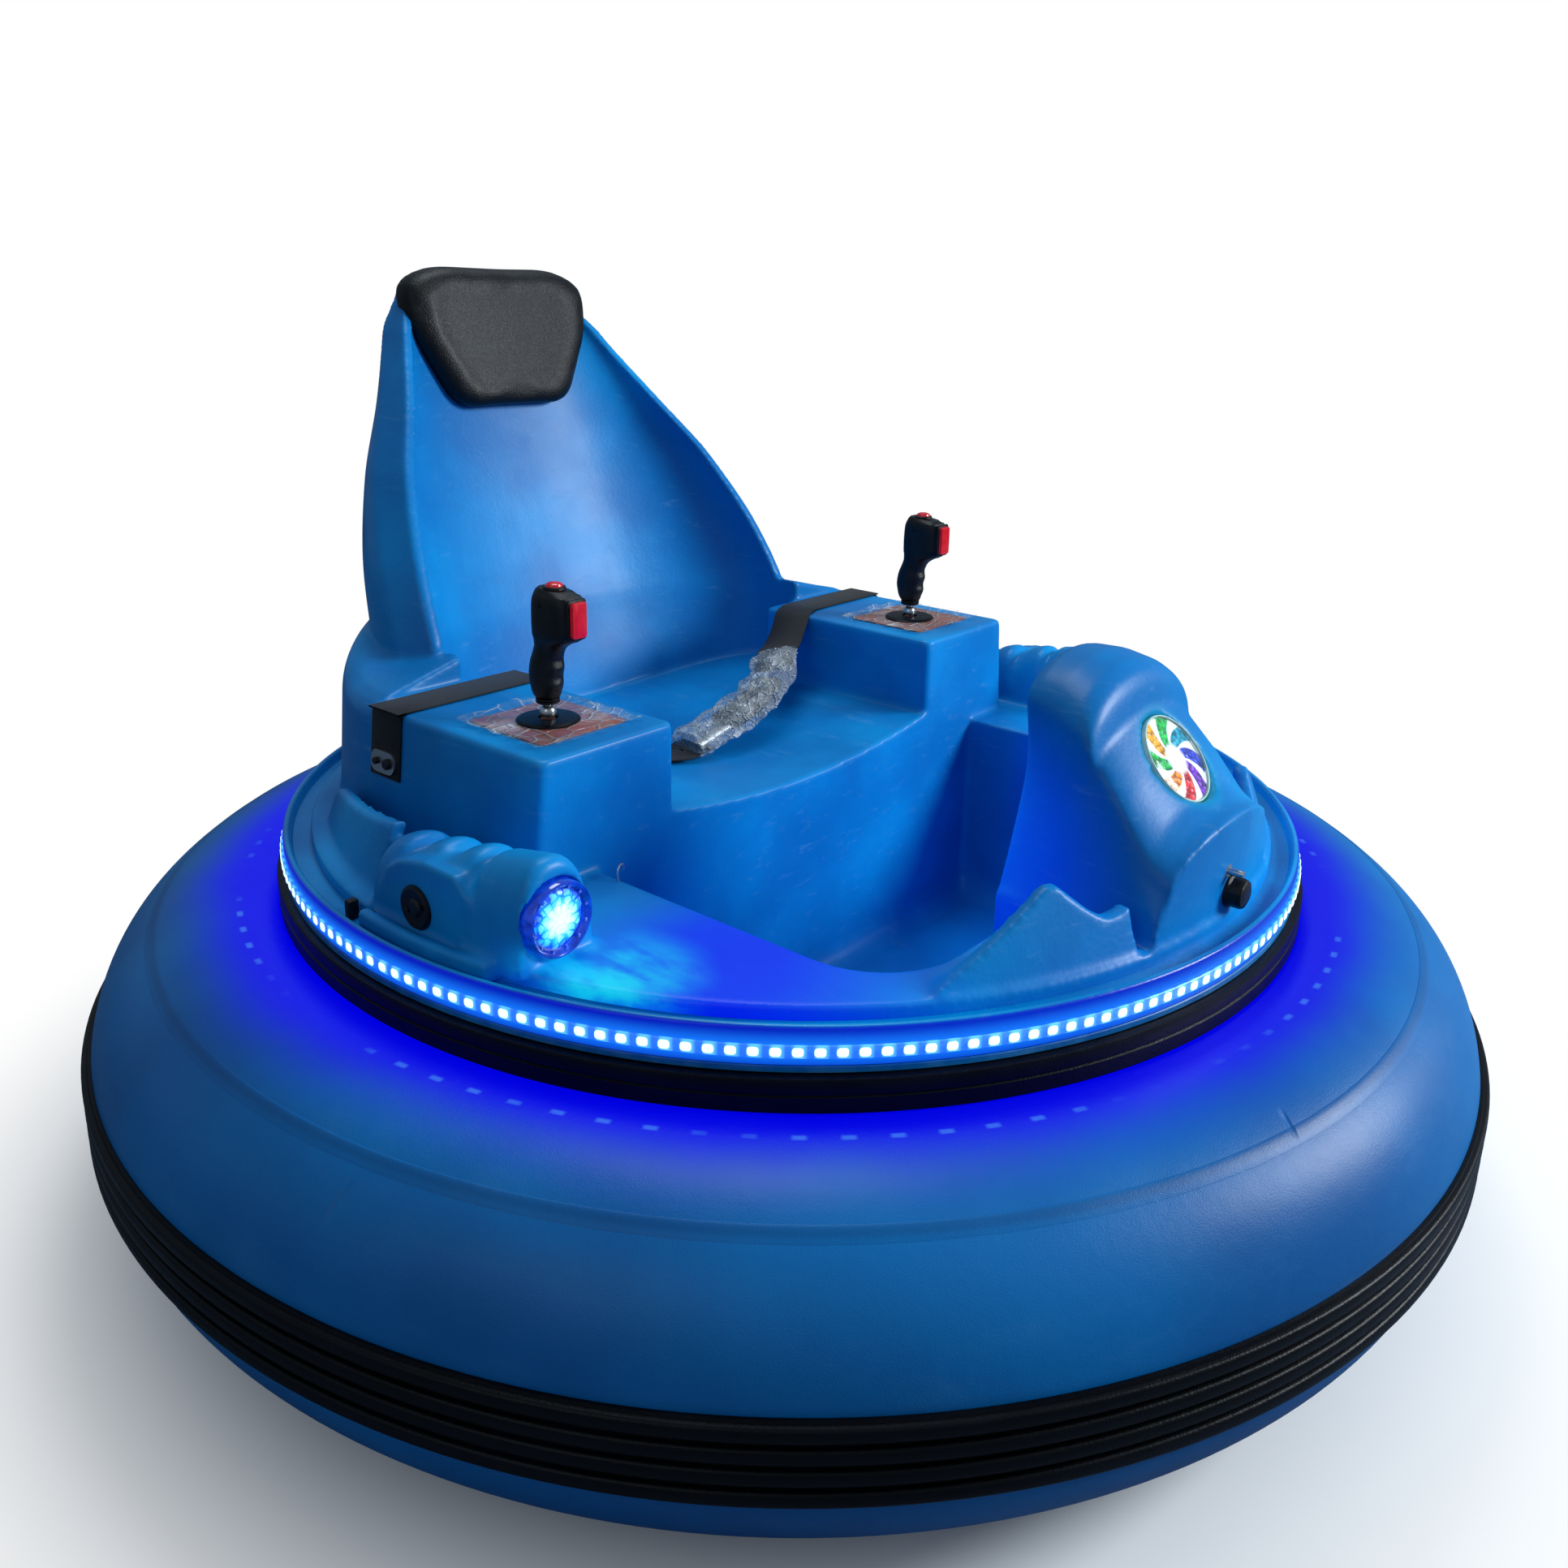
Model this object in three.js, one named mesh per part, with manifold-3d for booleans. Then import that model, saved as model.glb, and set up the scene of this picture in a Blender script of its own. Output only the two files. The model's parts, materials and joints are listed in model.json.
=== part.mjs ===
// Ring-shaped fairground bumper car: an air-filled tube around a moulded tub with a bucket seat,
// two stick controls, two driven wheels and two casters. Millimetres, +Z up, origin on the ground
// under the middle of the ring. The car faces -Y, so the rider's left is +X.
import * as THREE from "three";
import { mergeVertices } from "three/addons/utils/BufferGeometryUtils.js";
import Module from "manifold-3d";

const wasm = await Module();
wasm.setup();

// ---------------------------------------------------------------- driving dimensions
const GAP = 0.3; // between pieces that touch
const WALL = 6; // moulded panel
const RING_STEPS = 48; // facets round the car

const DECK_Z = 392; // top of the deck
const RIM_R = 538; // upright face of the rim
const RIM_BEVEL = 4; // rounding of the rim's lip
const GUTTER_IN_R = 513; // drain channel between the deck and the rim's lip
const GUTTER_OUT_R = 531;
const GUTTER_DEEP = 13;
const LIP_DROP = 2; // from the deck down to the top of the lip
const SKIRT_HIGH = 35; // from the deck down to the lower edge of the rim
const SKIRT_LOW_Z = DECK_Z - SKIRT_HIGH;
const LED_DROP = 22; // from the deck down to the middle of the light strip
const LED_Z = DECK_Z - LED_DROP;
const LED_WIDTH = 11;
const LED_THICK = 2.5;
const TRIM_WIDTH = 14; // black rubber ring between rim and tube
const TRIM_PROUD = 8; // how far it stands out past the rim

const HULL_R = 472; // upright wall that the tube sits round

const TUBE_OUT_R = 727;
const TUBE_CROWN_R = 585; // radius of the tube's highest and lowest circles
const TUBE_LOW_Z = 52;
const TUBE_MID_Z = 178;
const TUBE_DROP = 66; // from the deck down to the tube's crown
const TUBE_HIGH_Z = DECK_Z - TUBE_DROP;
const TUBE_ROUND_TOP = 2.2; // squareness of the upper half, 2 is a plain ellipse
const TUBE_ROUND_LOW = 2.7;
const TUBE_STEPS = 24;
const STRIP_LOW_Z = 143; // rubber rubbing strip
const STRIP_HIGH_Z = 213;
const STRIP_THICK = 4;
const STRIP_RIB = 5;
const STRIP_RIBS = 4;

const PLATE_LOW_Z = 142; // steel chassis plate
const PLATE_THICK = 5;
const HULL_LOW_Z = PLATE_LOW_Z - WALL; // the wall covers the plate's edge

const FOOT_SIDE_ROOM = 152; // footwell, from the hull's wall to its side
const FOOT_HALF = HULL_R - FOOT_SIDE_ROOM;
const FOOT_REAR_Y = -30;
const FOOT_FRONT_ROOM = 98; // from the hull's wall to its front
const FOOT_FRONT_Y = FOOT_FRONT_ROOM - HULL_R;
const FOOT_CORNER = 85;
const NOSE_HALF = 108; // the cowl's foot, which stands into the footwell

const SEAT_HALF = 216; // between the consoles
const SEAT_MID_Z = 402;
const SEAT_EDGE_Z = 423;
const CONSOLE_OUT = 384; // outer edge of its top
const CONSOLE_DRAFT = 13; // how far its foot stands out past that
const CONSOLE_REAR_Y = 225;
const CONSOLE_Z = 513;
const CONSOLE_ROUND = 12;

const SURROUND_REAR_Y = 508; // moulding round the foot of the backrest
const SURROUND_SHOULDER_Z = 498;
const SURROUND_TOP_Z = 522; // where it meets the consoles
const SURROUND_BACK_Z = 541; // at the backrest's sides
const SURROUND_RISE = 45; // how much higher its top is behind the backrest
const SURROUND_RISE_Y = [270, 470]; // where that rise starts and ends
const SHELL_WALL = 12; // moulded seat shell, two skins

// The wings' front edges run back from the consoles to WING_TOP_Y, each key by so much of WING_RUN.
const WING_GAP = 11; // from the consoles to the wings' feet
const WING_TOP_Y = 513;
const WING_RUN = 277;
const WING_FOOT_Y = CONSOLE_REAR_Y + WING_GAP;
const wingY = (run) => WING_FOOT_Y + ((WING_TOP_Y - WING_FOOT_Y) * run) / WING_RUN;

// The backrest at a few heights: z, half width at the wings' front edges and their y,
// half width of the shell, y of the scoop's middle and of the shell's rear.
const BACK_KEYS = [
  { z: DECK_Z + GAP, tip: 284, tipY: wingY(0), half: 304, scoopY: 372, rearY: 497 },
  { z: 526, tip: 284, tipY: wingY(16), half: 304, scoopY: 408, rearY: 500 },
  { z: 619, tip: 269, tipY: wingY(63), half: 288, scoopY: 438, rearY: 506 },
  { z: 708, tip: 237, tipY: wingY(121), half: 249, scoopY: 464, rearY: 512 },
  { z: 785, tip: 191, tipY: wingY(179), half: 197, scoopY: 486, rearY: 517 },
  { z: 860, tip: 150, tipY: wingY(236), half: 151, scoopY: 508, rearY: 525 },
  { z: 915, tip: 118, tipY: wingY(WING_RUN), half: 117, scoopY: 524, rearY: 533 },
];
const BACK_STEPS = 11; // rings up the backrest
const BACK_ROUND = 2.05; // squareness of the shell's outside, 2 is a plain ellipse
const WING_SETBACK = 42; // from the wing's front edge back to the shell's widest line

const HEADREST_LOW_Z = 765;
const HEADREST_HIGH_Z = 937;
const HEADREST_LOW_HALF = 92;
const HEADREST_HIGH_HALF = 143;
const HEADREST_THICK = 42;
const HEADREST_FRONT_Y = 446; // of its lower edge
const HEADREST_LEAN = 0.21; // rearward run for each unit of height

// The cowl from its rear face to its arched front: y, half width of the foot, of the waist and
// of the hood's edge, heights of those two, height of the ridge and squareness of the top.
const COWL_FRONT_R = 507; // the front panel follows the ring
const COWL_KEYS = [
  { y: -330, foot: NOSE_HALF - 1, waist: 66, waistZ: 508, edge: 76, edgeZ: 568, ridge: 601, crown: 1.9 },
  { y: -338, foot: NOSE_HALF, waist: 72, waistZ: 508, edge: 80, edgeZ: 568, ridge: 606, crown: 1.9 },
  { y: -366, foot: 110, waist: 85, waistZ: 505, edge: 88, edgeZ: 562, ridge: 607, crown: 1.9 },
  { y: -390, foot: 112, waist: 94, waistZ: 502, edge: 96, edgeZ: 555, ridge: 601, crown: 1.9 },
  { y: -402, foot: 114, waist: 97, waistZ: 500, edge: 99, edgeZ: 548, ridge: 593, crown: 1.9 },
  { y: -408, foot: 114, waist: 98, waistZ: 500, edge: 100, edgeZ: 541, ridge: 583, crown: 1.9 },
  { y: -411, foot: 115, waist: 98, waistZ: 498, edge: 98, edgeZ: 533, ridge: 573, crown: 1.9 },
  { y: -416, foot: 115, waist: 98, waistZ: 494, edge: 97, edgeZ: 522, ridge: 558, crown: 1.9 },
  { y: -446, foot: 118, waist: 105, waistZ: 460, edge: 103, edgeZ: 488, ridge: 524, crown: 2.1 },
  { y: -474, foot: 121, waist: 114, waistZ: 430, edge: 109, edgeZ: 457, ridge: 493, crown: 2.4 },
  { y: -492, foot: 123, waist: 120, waistZ: 414, edge: 112, edgeZ: 444, ridge: 482, crown: 2.6 },
  { y: -512, foot: 123, waist: 121, waistZ: 412, edge: 112, edgeZ: 442, ridge: 479, crown: 2.6 },
];
const NOSE_REAR_Y = COWL_KEYS[0].y;
const LAMP_R = 43.5;
const LAMP_Y = -446;
const LAMP_Z = 521;
const LAMP_TILT = 39.5; // degrees, face turned up
const LAMP_DEEP = 16;

const POD_X = 462; // side pods with the headlights
const POD_HALF = 42;
const POD_FRONT_Y = -138;
const POD_REAR_Y = 70;
const POD_TOP_Z = 480;
const POD_TAIL_Z = 446;
const POD_RIBS = 3;
const POD_RIB_RISE = 4;
const HEADLIGHT_R = 33;
const HEADLIGHT_Z = 429;
const HEADLIGHT_DEEP = 12;

const FRONT_FIN_R = 508; // outer faces of the four fins, at their feet
const REAR_FIN_R = 495;
const FRONT_FIN_BASE = 40; // thickness at the foot
const REAR_FIN_BASE = 22;
const FIN_TOP = 9;
const FIN_LEAN = 0.42; // inward run of the outer face for each unit of height

const WHEEL_R = 100; // driven wheels
const WHEEL_WIDTH = 50;
const WHEEL_ROOM = 140; // from the hull's wall to the wheel's middle
const WHEEL_X = HULL_R - WHEEL_ROOM;
const AXLE_Y = 95;
const TYRE_THICK = 26;
const AXLE_R = 10;
const MOTOR_R = 38;
const MOTOR_LONG = 150;
const MOTOR_REACH = 37; // from the motor's end to the wheel's middle
const MOTOR_IN_X = WHEEL_X - MOTOR_REACH - MOTOR_LONG;
const BATTERY_DROP = 224; // the battery box is as high as the deck less this
const BATTERY = { x: 330, y: 172, z: DECK_Z - BATTERY_DROP, midY: 120 };

const CASTER_ROOM = [202, 142]; // from the hull's wall to the front and rear swivels
const CASTER_Y = [CASTER_ROOM[0] - HULL_R, HULL_R - CASTER_ROOM[1]];
const CASTER_R = 45;
const CASTER_WIDTH = 32;
const CASTER_TRAIL = 32;
const CASTER_FORK = 4;
const RUNNING_GAP = 5;

const STICK_X = 300;
const STICK_Y = 58;
const PANEL_SIZE = 106;
const PANEL_THICK = 1.5;
const DUST_R = 31;
const DUST_THICK = 3;
const STICK_BALL_R = 8;
const STICK_GRIP_LOW = 16; // above the ball's centre
const STICK_GRIP_LONG = 108;

const STICK_HEAD_FROM = 0.57; // share of the grip's length where its head starts
const HEAD_HALF = 26; // half length of the head, front to back
const HEAD_FORWARD = 18; // how far the head leans ahead of the shaft
const TRIGGER_THICK = 5;

const BELT_WIDTH = 48;
const BELT_THICK = 2;
const BELT_EDGE = 5; // from the strap's rear edge to the console's rear
const SLEEVE_WIDE = 58; // film sleeve round the buckle
const SLEEVE_THICK = 15;

// ---------------------------------------------------------------- helpers
const BLUE = { color: 0x0a63b0, roughness: 0.42, metalness: 0 };
const PVC = { color: 0x0b56a3, roughness: 0.5, metalness: 0 };
const RUBBER = { color: 0x101215, roughness: 0.7, metalness: 0 };
const STEEL = { color: 0x9aa0a6, roughness: 0.35, metalness: 1 };
const DARK_STEEL = { color: 0x2a2d31, roughness: 0.5, metalness: 0.6 };
const LEATHERETTE = { color: 0x141414, roughness: 0.55, metalness: 0 };
const BLACK = { color: 0x0c0d0f, roughness: 0.4, metalness: 0 };
const LENS = { color: 0xcfeaff, roughness: 0.1, metalness: 0 };
const TERRACOTTA = { color: 0xa8512f, roughness: 0.3, metalness: 0 };
const RED = { color: 0xc01018, roughness: 0.35, metalness: 0 };
const WEBBING = { color: 0x0e0e10, roughness: 0.8, metalness: 0 };
const FILM = { color: 0xdfe6ec, roughness: 0.2, metalness: 0 };

const car = new THREE.Group();

function toSolid(geometry) {
  const bare = geometry.index ? geometry.toNonIndexed() : geometry.clone();
  for (const name of Object.keys(bare.attributes)) {
    if (name !== "position") bare.deleteAttribute(name);
  }
  const merged = mergeVertices(bare, 1e-3);
  const mesh = new wasm.Mesh({
    numProp: 3,
    vertProperties: merged.attributes.position.array,
    triVerts: new Uint32Array(merged.index.array),
  });
  return new wasm.Manifold(mesh);
}

function toGeometry(solid) {
  const mesh = solid.getMesh();
  const geometry = new THREE.BufferGeometry();
  geometry.setAttribute("position", new THREE.BufferAttribute(mesh.vertProperties.slice(), 3));
  geometry.setIndex(new THREE.BufferAttribute(mesh.triVerts.slice(), 1));
  return geometry;
}

function cut(base, ...tools) {
  return toGeometry(tools.reduce((left, tool) => left.subtract(toSolid(tool)), toSolid(base)));
}

function join(first, ...rest) {
  return toGeometry(rest.reduce((sum, more) => sum.add(toSolid(more)), toSolid(first)));
}

function overlap(first, second) {
  return toGeometry(toSolid(first).intersect(toSolid(second)));
}

function add(name, geometry, look, group = car) {
  const flat = geometry.index ? geometry.toNonIndexed() : geometry;
  flat.computeVertexNormals();
  const mesh = new THREE.Mesh(flat, new THREE.MeshStandardMaterial(look));
  mesh.name = name;
  group.add(mesh);
  return mesh;
}

// A solid of revolution about Z. The profile runs anticlockwise in (radius, height).
function turned(profile, steps = RING_STEPS) {
  const points = profile.map(([r, z]) => new THREE.Vector2(r, z));
  if (profile[0][0] > 0) points.push(points[0].clone());
  return new THREE.LatheGeometry(points, steps).rotateX(Math.PI / 2);
}

function box(low, high) {
  const size = high.map((value, i) => value - low[i]);
  const middle = high.map((value, i) => (value + low[i]) / 2);
  return new THREE.BoxGeometry(...size).translate(...middle);
}

// A cylinder along X, Y or Z about a middle point.
function rod(axis, radius, length, middle, steps = 24) {
  const geometry = new THREE.CylinderGeometry(radius, radius, length, steps);
  if (axis === "x") geometry.rotateZ(Math.PI / 2);
  if (axis === "z") geometry.rotateX(Math.PI / 2);
  return geometry.translate(...middle);
}

function upright(outline, low, high) {
  const shape = new THREE.Shape(outline.map(([x, y]) => new THREE.Vector2(x, y)));
  return new THREE.ExtrudeGeometry(shape, { depth: high - low, bevelEnabled: false }).translate(0, 0, low);
}

// An outline in (x, z) drawn out along Y.
function acrossY(outline, lowY, highY) {
  return upright(outline, 0, highY - lowY).rotateX(Math.PI / 2).translate(0, highY, 0);
}

// An outline in (y, z) drawn out along X.
function acrossX(outline, lowX, highX) {
  return upright(outline, 0, highX - lowX).rotateX(Math.PI / 2).rotateZ(Math.PI / 2).translate(lowX, 0, 0);
}

// A closed skin over rings of points that match one to one, with a fan at each end.
function loft(rings) {
  const count = rings[0].length;
  const points = rings.flat();
  const ends = [rings[0], rings[rings.length - 1]].map((ring) => {
    const sum = ring.reduce((total, p) => total.map((value, i) => value + p[i]), [0, 0, 0]);
    return sum.map((value) => value / count);
  });
  const faces = [];
  for (let k = 0; k + 1 < rings.length; k++) {
    for (let i = 0; i < count; i++) {
      const j = (i + 1) % count;
      const [a, b, c, d] = [k * count + i, k * count + j, (k + 1) * count + j, (k + 1) * count + i];
      faces.push([a, b, c], [a, c, d]);
    }
  }
  const last = (rings.length - 1) * count;
  for (let i = 0; i < count; i++) {
    const j = (i + 1) % count;
    faces.push([points.length, j, i], [points.length + 1, last + i, last + j]);
  }
  points.push(...ends);
  let volume = 0;
  for (const [a, b, c] of faces) {
    const [p, q, r] = [points[a], points[b], points[c]].map((v) => new THREE.Vector3(...v));
    volume += p.dot(q.cross(r));
  }
  const index = faces.flatMap(([a, b, c]) => (volume < 0 ? [a, c, b] : [a, b, c]));
  const geometry = new THREE.BufferGeometry();
  geometry.setAttribute("position", new THREE.Float32BufferAttribute(points.flat(), 3));
  geometry.setIndex(index);
  return geometry;
}

function mirrored(geometry) {
  const flat = geometry.index ? geometry.toNonIndexed() : geometry.clone();
  const place = flat.attributes.position;
  for (let i = 0; i < place.count; i += 3) {
    const corner = [0, 1, 2].map((k) => [-place.getX(i + k), place.getY(i + k), place.getZ(i + k)]);
    place.setXYZ(i, ...corner[0]);
    place.setXYZ(i + 1, ...corner[2]);
    place.setXYZ(i + 2, ...corner[1]);
  }
  return flat;
}

// Adds a piece made on the rider's right (-X) and its twin on the left.
function addPair(name, geometry, look) {
  add(`${name}_right`, geometry, look);
  add(`${name}_left`, mirrored(geometry), look);
}

// Points of a superellipse arc: half widths a and b, squareness n, angles in quarter turns.
function roundArc(a, b, n, from, to, steps) {
  return Array.from({ length: steps + 1 }, (_, k) => {
    const t = ((from + ((to - from) * k) / steps) * Math.PI) / 2;
    const along = Math.sign(Math.cos(t)) * Math.abs(Math.cos(t)) ** (2 / n);
    const up = Math.sign(Math.sin(t)) * Math.abs(Math.sin(t)) ** (2 / n);
    return [a * along, b * up];
  });
}

function roundedRectangle(lowX, highX, lowY, highY, radius, steps = 4) {
  const corners = [
    [highX - radius, highY - radius, 0],
    [lowX + radius, highY - radius, 1],
    [lowX + radius, lowY + radius, 2],
    [highX - radius, lowY + radius, 3],
  ];
  return corners.flatMap(([x, y, quarter]) =>
    roundArc(radius, radius, 2, quarter, quarter + 1, steps).map(([dx, dy]) => [x + dx, y + dy])
  );
}

// A value between the keys of a table, by a smooth curve through them; level past either end.
function smoothKey(keys, z, name) {
  const curve = new THREE.SplineCurve(keys.map((key) => new THREE.Vector2(key.z, key[name])));
  const held = THREE.MathUtils.clamp(z, keys[0].z, keys[keys.length - 1].z);
  const index = Math.max(keys.findIndex((key) => key.z >= held), 1);
  const share = (held - keys[index - 1].z) / (keys[index].z - keys[index - 1].z);
  return curve.getPoint((index - 1 + share) / (keys.length - 1)).y;
}

// ---------------------------------------------------------------- tube, strip and rim
const TUBE_IN_R = HULL_R + GAP;
const STRIP_SEAT_R = TUBE_OUT_R - 3; // the tube is pressed flat under the strip

function buildTube() {
  const outer = TUBE_OUT_R - TUBE_CROWN_R;
  const inner = TUBE_CROWN_R - TUBE_IN_R;
  const low = TUBE_MID_Z - TUBE_LOW_Z;
  const high = TUBE_HIGH_Z - TUBE_MID_Z;
  const quarters = [
    [outer, low, TUBE_ROUND_LOW, 3, 4],
    [outer, high, TUBE_ROUND_TOP, 0, 1],
    [inner, high, TUBE_ROUND_TOP, 1, 2],
    [inner, low, TUBE_ROUND_LOW, 2, 3],
  ];
  const steps = Math.round(TUBE_STEPS / 4);
  const arcs = quarters.map(([a, b, n, from, to]) => roundArc(a, b, n, from, to, steps).slice(0, -1));
  const profile = arcs.flat();
  const placed = profile.map(([r, z]) => [Math.min(TUBE_CROWN_R + r, STRIP_SEAT_R), TUBE_MID_Z + z]);
  return turned(placed);
}

function tubeTopAt(r) {
  const reach = r > TUBE_CROWN_R ? TUBE_OUT_R - TUBE_CROWN_R : TUBE_CROWN_R - TUBE_IN_R;
  const share = Math.abs(r - TUBE_CROWN_R) / reach;
  const rise = (1 - share ** TUBE_ROUND_TOP) ** (1 / TUBE_ROUND_TOP);
  return TUBE_MID_Z + (TUBE_HIGH_Z - TUBE_MID_Z) * rise;
}

function buildStrip() {
  const inner = STRIP_SEAT_R + GAP;
  const pitch = (STRIP_HIGH_Z - STRIP_LOW_Z) / STRIP_RIBS;
  const profile = [[inner, STRIP_HIGH_Z], [inner, STRIP_LOW_Z]];
  for (let k = 0; k < STRIP_RIBS; k++) {
    const low = STRIP_LOW_Z + k * pitch;
    profile.push([inner + STRIP_THICK, low + 0.12 * pitch]);
    profile.push([inner + STRIP_THICK + STRIP_RIB, low + 0.3 * pitch]);
    profile.push([inner + STRIP_THICK + STRIP_RIB, low + 0.7 * pitch]);
    profile.push([inner + STRIP_THICK, low + 0.88 * pitch]);
  }
  return turned(profile);
}

function buildTrim() {
  const outer = RIM_R + TRIM_PROUD;
  const inner = outer - TRIM_WIDTH;
  const top = SKIRT_LOW_Z - GAP - WALL - GAP;
  return turned([
    [inner, tubeTopAt(inner) + GAP],
    [outer, tubeTopAt(outer) + GAP],
    [outer, top],
    [inner, top],
  ]);
}

// Upright wall inside the tube, with the flange that the deck is screwed to.
function buildHull() {
  const flangeTop = SKIRT_LOW_Z - GAP;
  return turned([
    [HULL_R - WALL, HULL_LOW_Z],
    [HULL_R, HULL_LOW_Z],
    [HULL_R, flangeTop - WALL],
    [RIM_R, flangeTop - WALL],
    [RIM_R, flangeTop],
    [HULL_R - WALL, flangeTop],
  ]);
}

// ---------------------------------------------------------------- deck and footwell
function footwellOutline(out = 0) {
  const half = FOOT_HALF + out;
  const front = FOOT_FRONT_Y - out;
  const radius = FOOT_CORNER + out;
  const nose = NOSE_HALF - out;
  const noseRear = NOSE_REAR_Y - out;
  const corner = roundArc(radius, radius, 2, 3, 4, 6);
  const left = corner.map(([x, y]) => [half - radius + x, front + radius + y]);
  const right = left.map(([x, y]) => [-x, y]).reverse();
  const notch = [[-nose, front], [-nose, noseRear], [nose, noseRear], [nose, front]];
  return [[half, FOOT_REAR_Y + out], [-half, FOOT_REAR_Y + out], ...right, ...notch, ...left];
}

const GUTTER_Z = DECK_Z - GUTTER_DEEP;

function buildDeck() {
  const lip = DECK_Z - LIP_DROP;
  const slant = 4;
  const body = turned([
    [0, DECK_Z - WALL],
    [GUTTER_IN_R - slant, DECK_Z - WALL],
    [GUTTER_IN_R, GUTTER_Z - WALL],
    [RIM_R - WALL, GUTTER_Z - WALL],
    [RIM_R - WALL, SKIRT_LOW_Z],
    [RIM_R, SKIRT_LOW_Z],
    [RIM_R, lip - RIM_BEVEL],
    [RIM_R - RIM_BEVEL, lip],
    [GUTTER_OUT_R, lip - 1],
    [GUTTER_OUT_R - slant, GUTTER_Z],
    [GUTTER_IN_R + slant, GUTTER_Z],
    [GUTTER_IN_R, DECK_Z - 1],
    [GUTTER_IN_R - 2, DECK_Z],
    [0, DECK_Z],
  ]);
  return cut(body, upright(footwellOutline(), DECK_Z - 2 * WALL, DECK_Z + WALL));
}

function buildFootwell() {
  const low = PLATE_LOW_Z + PLATE_THICK + GAP;
  const tub = upright(footwellOutline(WALL), low, DECK_Z - WALL - GAP);
  return cut(tub, upright(footwellOutline(), low + WALL, DECK_Z));
}

// ---------------------------------------------------------------- seat
function backRing(z, gap = 0) {
  const at = (name) => smoothKey(BACK_KEYS, z, name);
  const midY = Math.min(at("tipY") + WING_SETBACK, at("rearY") - 8);
  const rear = roundArc(at("half") + gap, at("rearY") + gap - midY, BACK_ROUND, 0, 2, 16);
  const outline = rear.map(([x, y]) => [x, midY + y]);
  const tip = at("tip") + gap;
  return [[tip, at("tipY") - gap], ...outline, [-tip, at("tipY") - gap]].map(([x, y]) => [x, y, z]);
}

const BACK_LOW = BACK_KEYS[0].z;
const BACK_HIGH = BACK_KEYS[BACK_KEYS.length - 1].z;
const BACK_HEIGHTS = Array.from(
  { length: BACK_STEPS + 1 },
  (_, k) => BACK_LOW + ((BACK_HIGH - BACK_LOW) * k) / BACK_STEPS
);

// Rings at the backrest's own heights, and level beyond them when used to cut.
function backStack(ringAt, beyond = 0) {
  const rings = BACK_HEIGHTS.map(ringAt);
  if (beyond === 0) return loft(rings);
  const level = (ring, z) => ring.map(([x, y]) => [x, y, z]);
  return loft([level(rings[0], BACK_LOW - beyond), ...rings, level(rings[BACK_STEPS], BACK_HIGH + beyond)]);
}

// The space in front of the scooped backrest, open to the front.
function scoopRing(z, gap = 0) {
  const at = (name) => smoothKey(BACK_KEYS, z, name);
  const tip = at("tip") - SHELL_WALL * 0.5;
  const arc = roundArc(tip - gap, at("scoopY") - at("tipY") - gap, 2.3, 0, 2, 16);
  const outline = arc.map(([x, y]) => [x, at("tipY") + y]);
  const far = FOOT_FRONT_Y;
  return [[tip - gap, far], ...outline, [-tip + gap, far]].map(([x, y]) => [x, y, z]);
}

function buildBackrest() {
  return cut(backStack((z) => backRing(z)), backStack((z) => scoopRing(z), WALL));
}

const SURROUND_HALF = CONSOLE_OUT + CONSOLE_DRAFT;

// A level ring of the moulding, lifted towards the rear by a share of the rise.
function surroundRing(z, inset, lift = 0) {
  const frontY = CONSOLE_REAR_Y + GAP;
  const deep = SURROUND_REAR_Y - frontY - 0.35 * inset;
  const rise = (y) => lift * SURROUND_RISE * THREE.MathUtils.smoothstep(y, ...SURROUND_RISE_Y);
  return roundArc(SURROUND_HALF - inset, deep, 1.85, 0, 2, 24).map(([x, y]) => [
    x,
    frontY + y,
    z + rise(frontY + y),
  ]);
}

function buildSurround() {
  const draft = (z) => (CONSOLE_DRAFT * (z - DECK_Z)) / (CONSOLE_Z - DECK_Z);
  const block = loft([
    surroundRing(DECK_Z + GAP, 0),
    surroundRing(SURROUND_SHOULDER_Z, draft(SURROUND_SHOULDER_Z), 0.8),
    surroundRing(SURROUND_SHOULDER_Z + 12, draft(SURROUND_SHOULDER_Z) + 7, 0.9),
    surroundRing(SURROUND_TOP_Z - 4, draft(SURROUND_SHOULDER_Z) + 22, 1),
    surroundRing(SURROUND_TOP_Z + 2, draft(SURROUND_SHOULDER_Z) + 48, 1),
    surroundRing(SURROUND_BACK_Z, draft(SURROUND_SHOULDER_Z) + 112, 1),
  ]);
  const back = backStack((z) => backRing(z, GAP), WALL);
  const space = backStack((z) => scoopRing(z), WALL);
  return cut(block, back, space);
}

function buildSeatPan() {
  const half = SEAT_HALF - GAP;
  const top = Array.from({ length: 13 }, (_, k) => {
    const x = half - (2 * half * k) / 12;
    return [x, SEAT_MID_Z + (SEAT_EDGE_Z - SEAT_MID_Z) * (x / half) ** 2];
  });
  const shape = [...top, [-half, DECK_Z + GAP], [half, DECK_Z + GAP]];
  const rear = BACK_KEYS[1].scoopY;
  const slab = acrossY(shape, FOOT_REAR_Y, rear);
  const space = backStack((z) => scoopRing(z, GAP), WALL);
  return overlap(slab, space);
}

function consoleOutAt(z) {
  return CONSOLE_OUT + (CONSOLE_DRAFT * (CONSOLE_Z - z)) / (CONSOLE_Z - DECK_Z);
}

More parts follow.
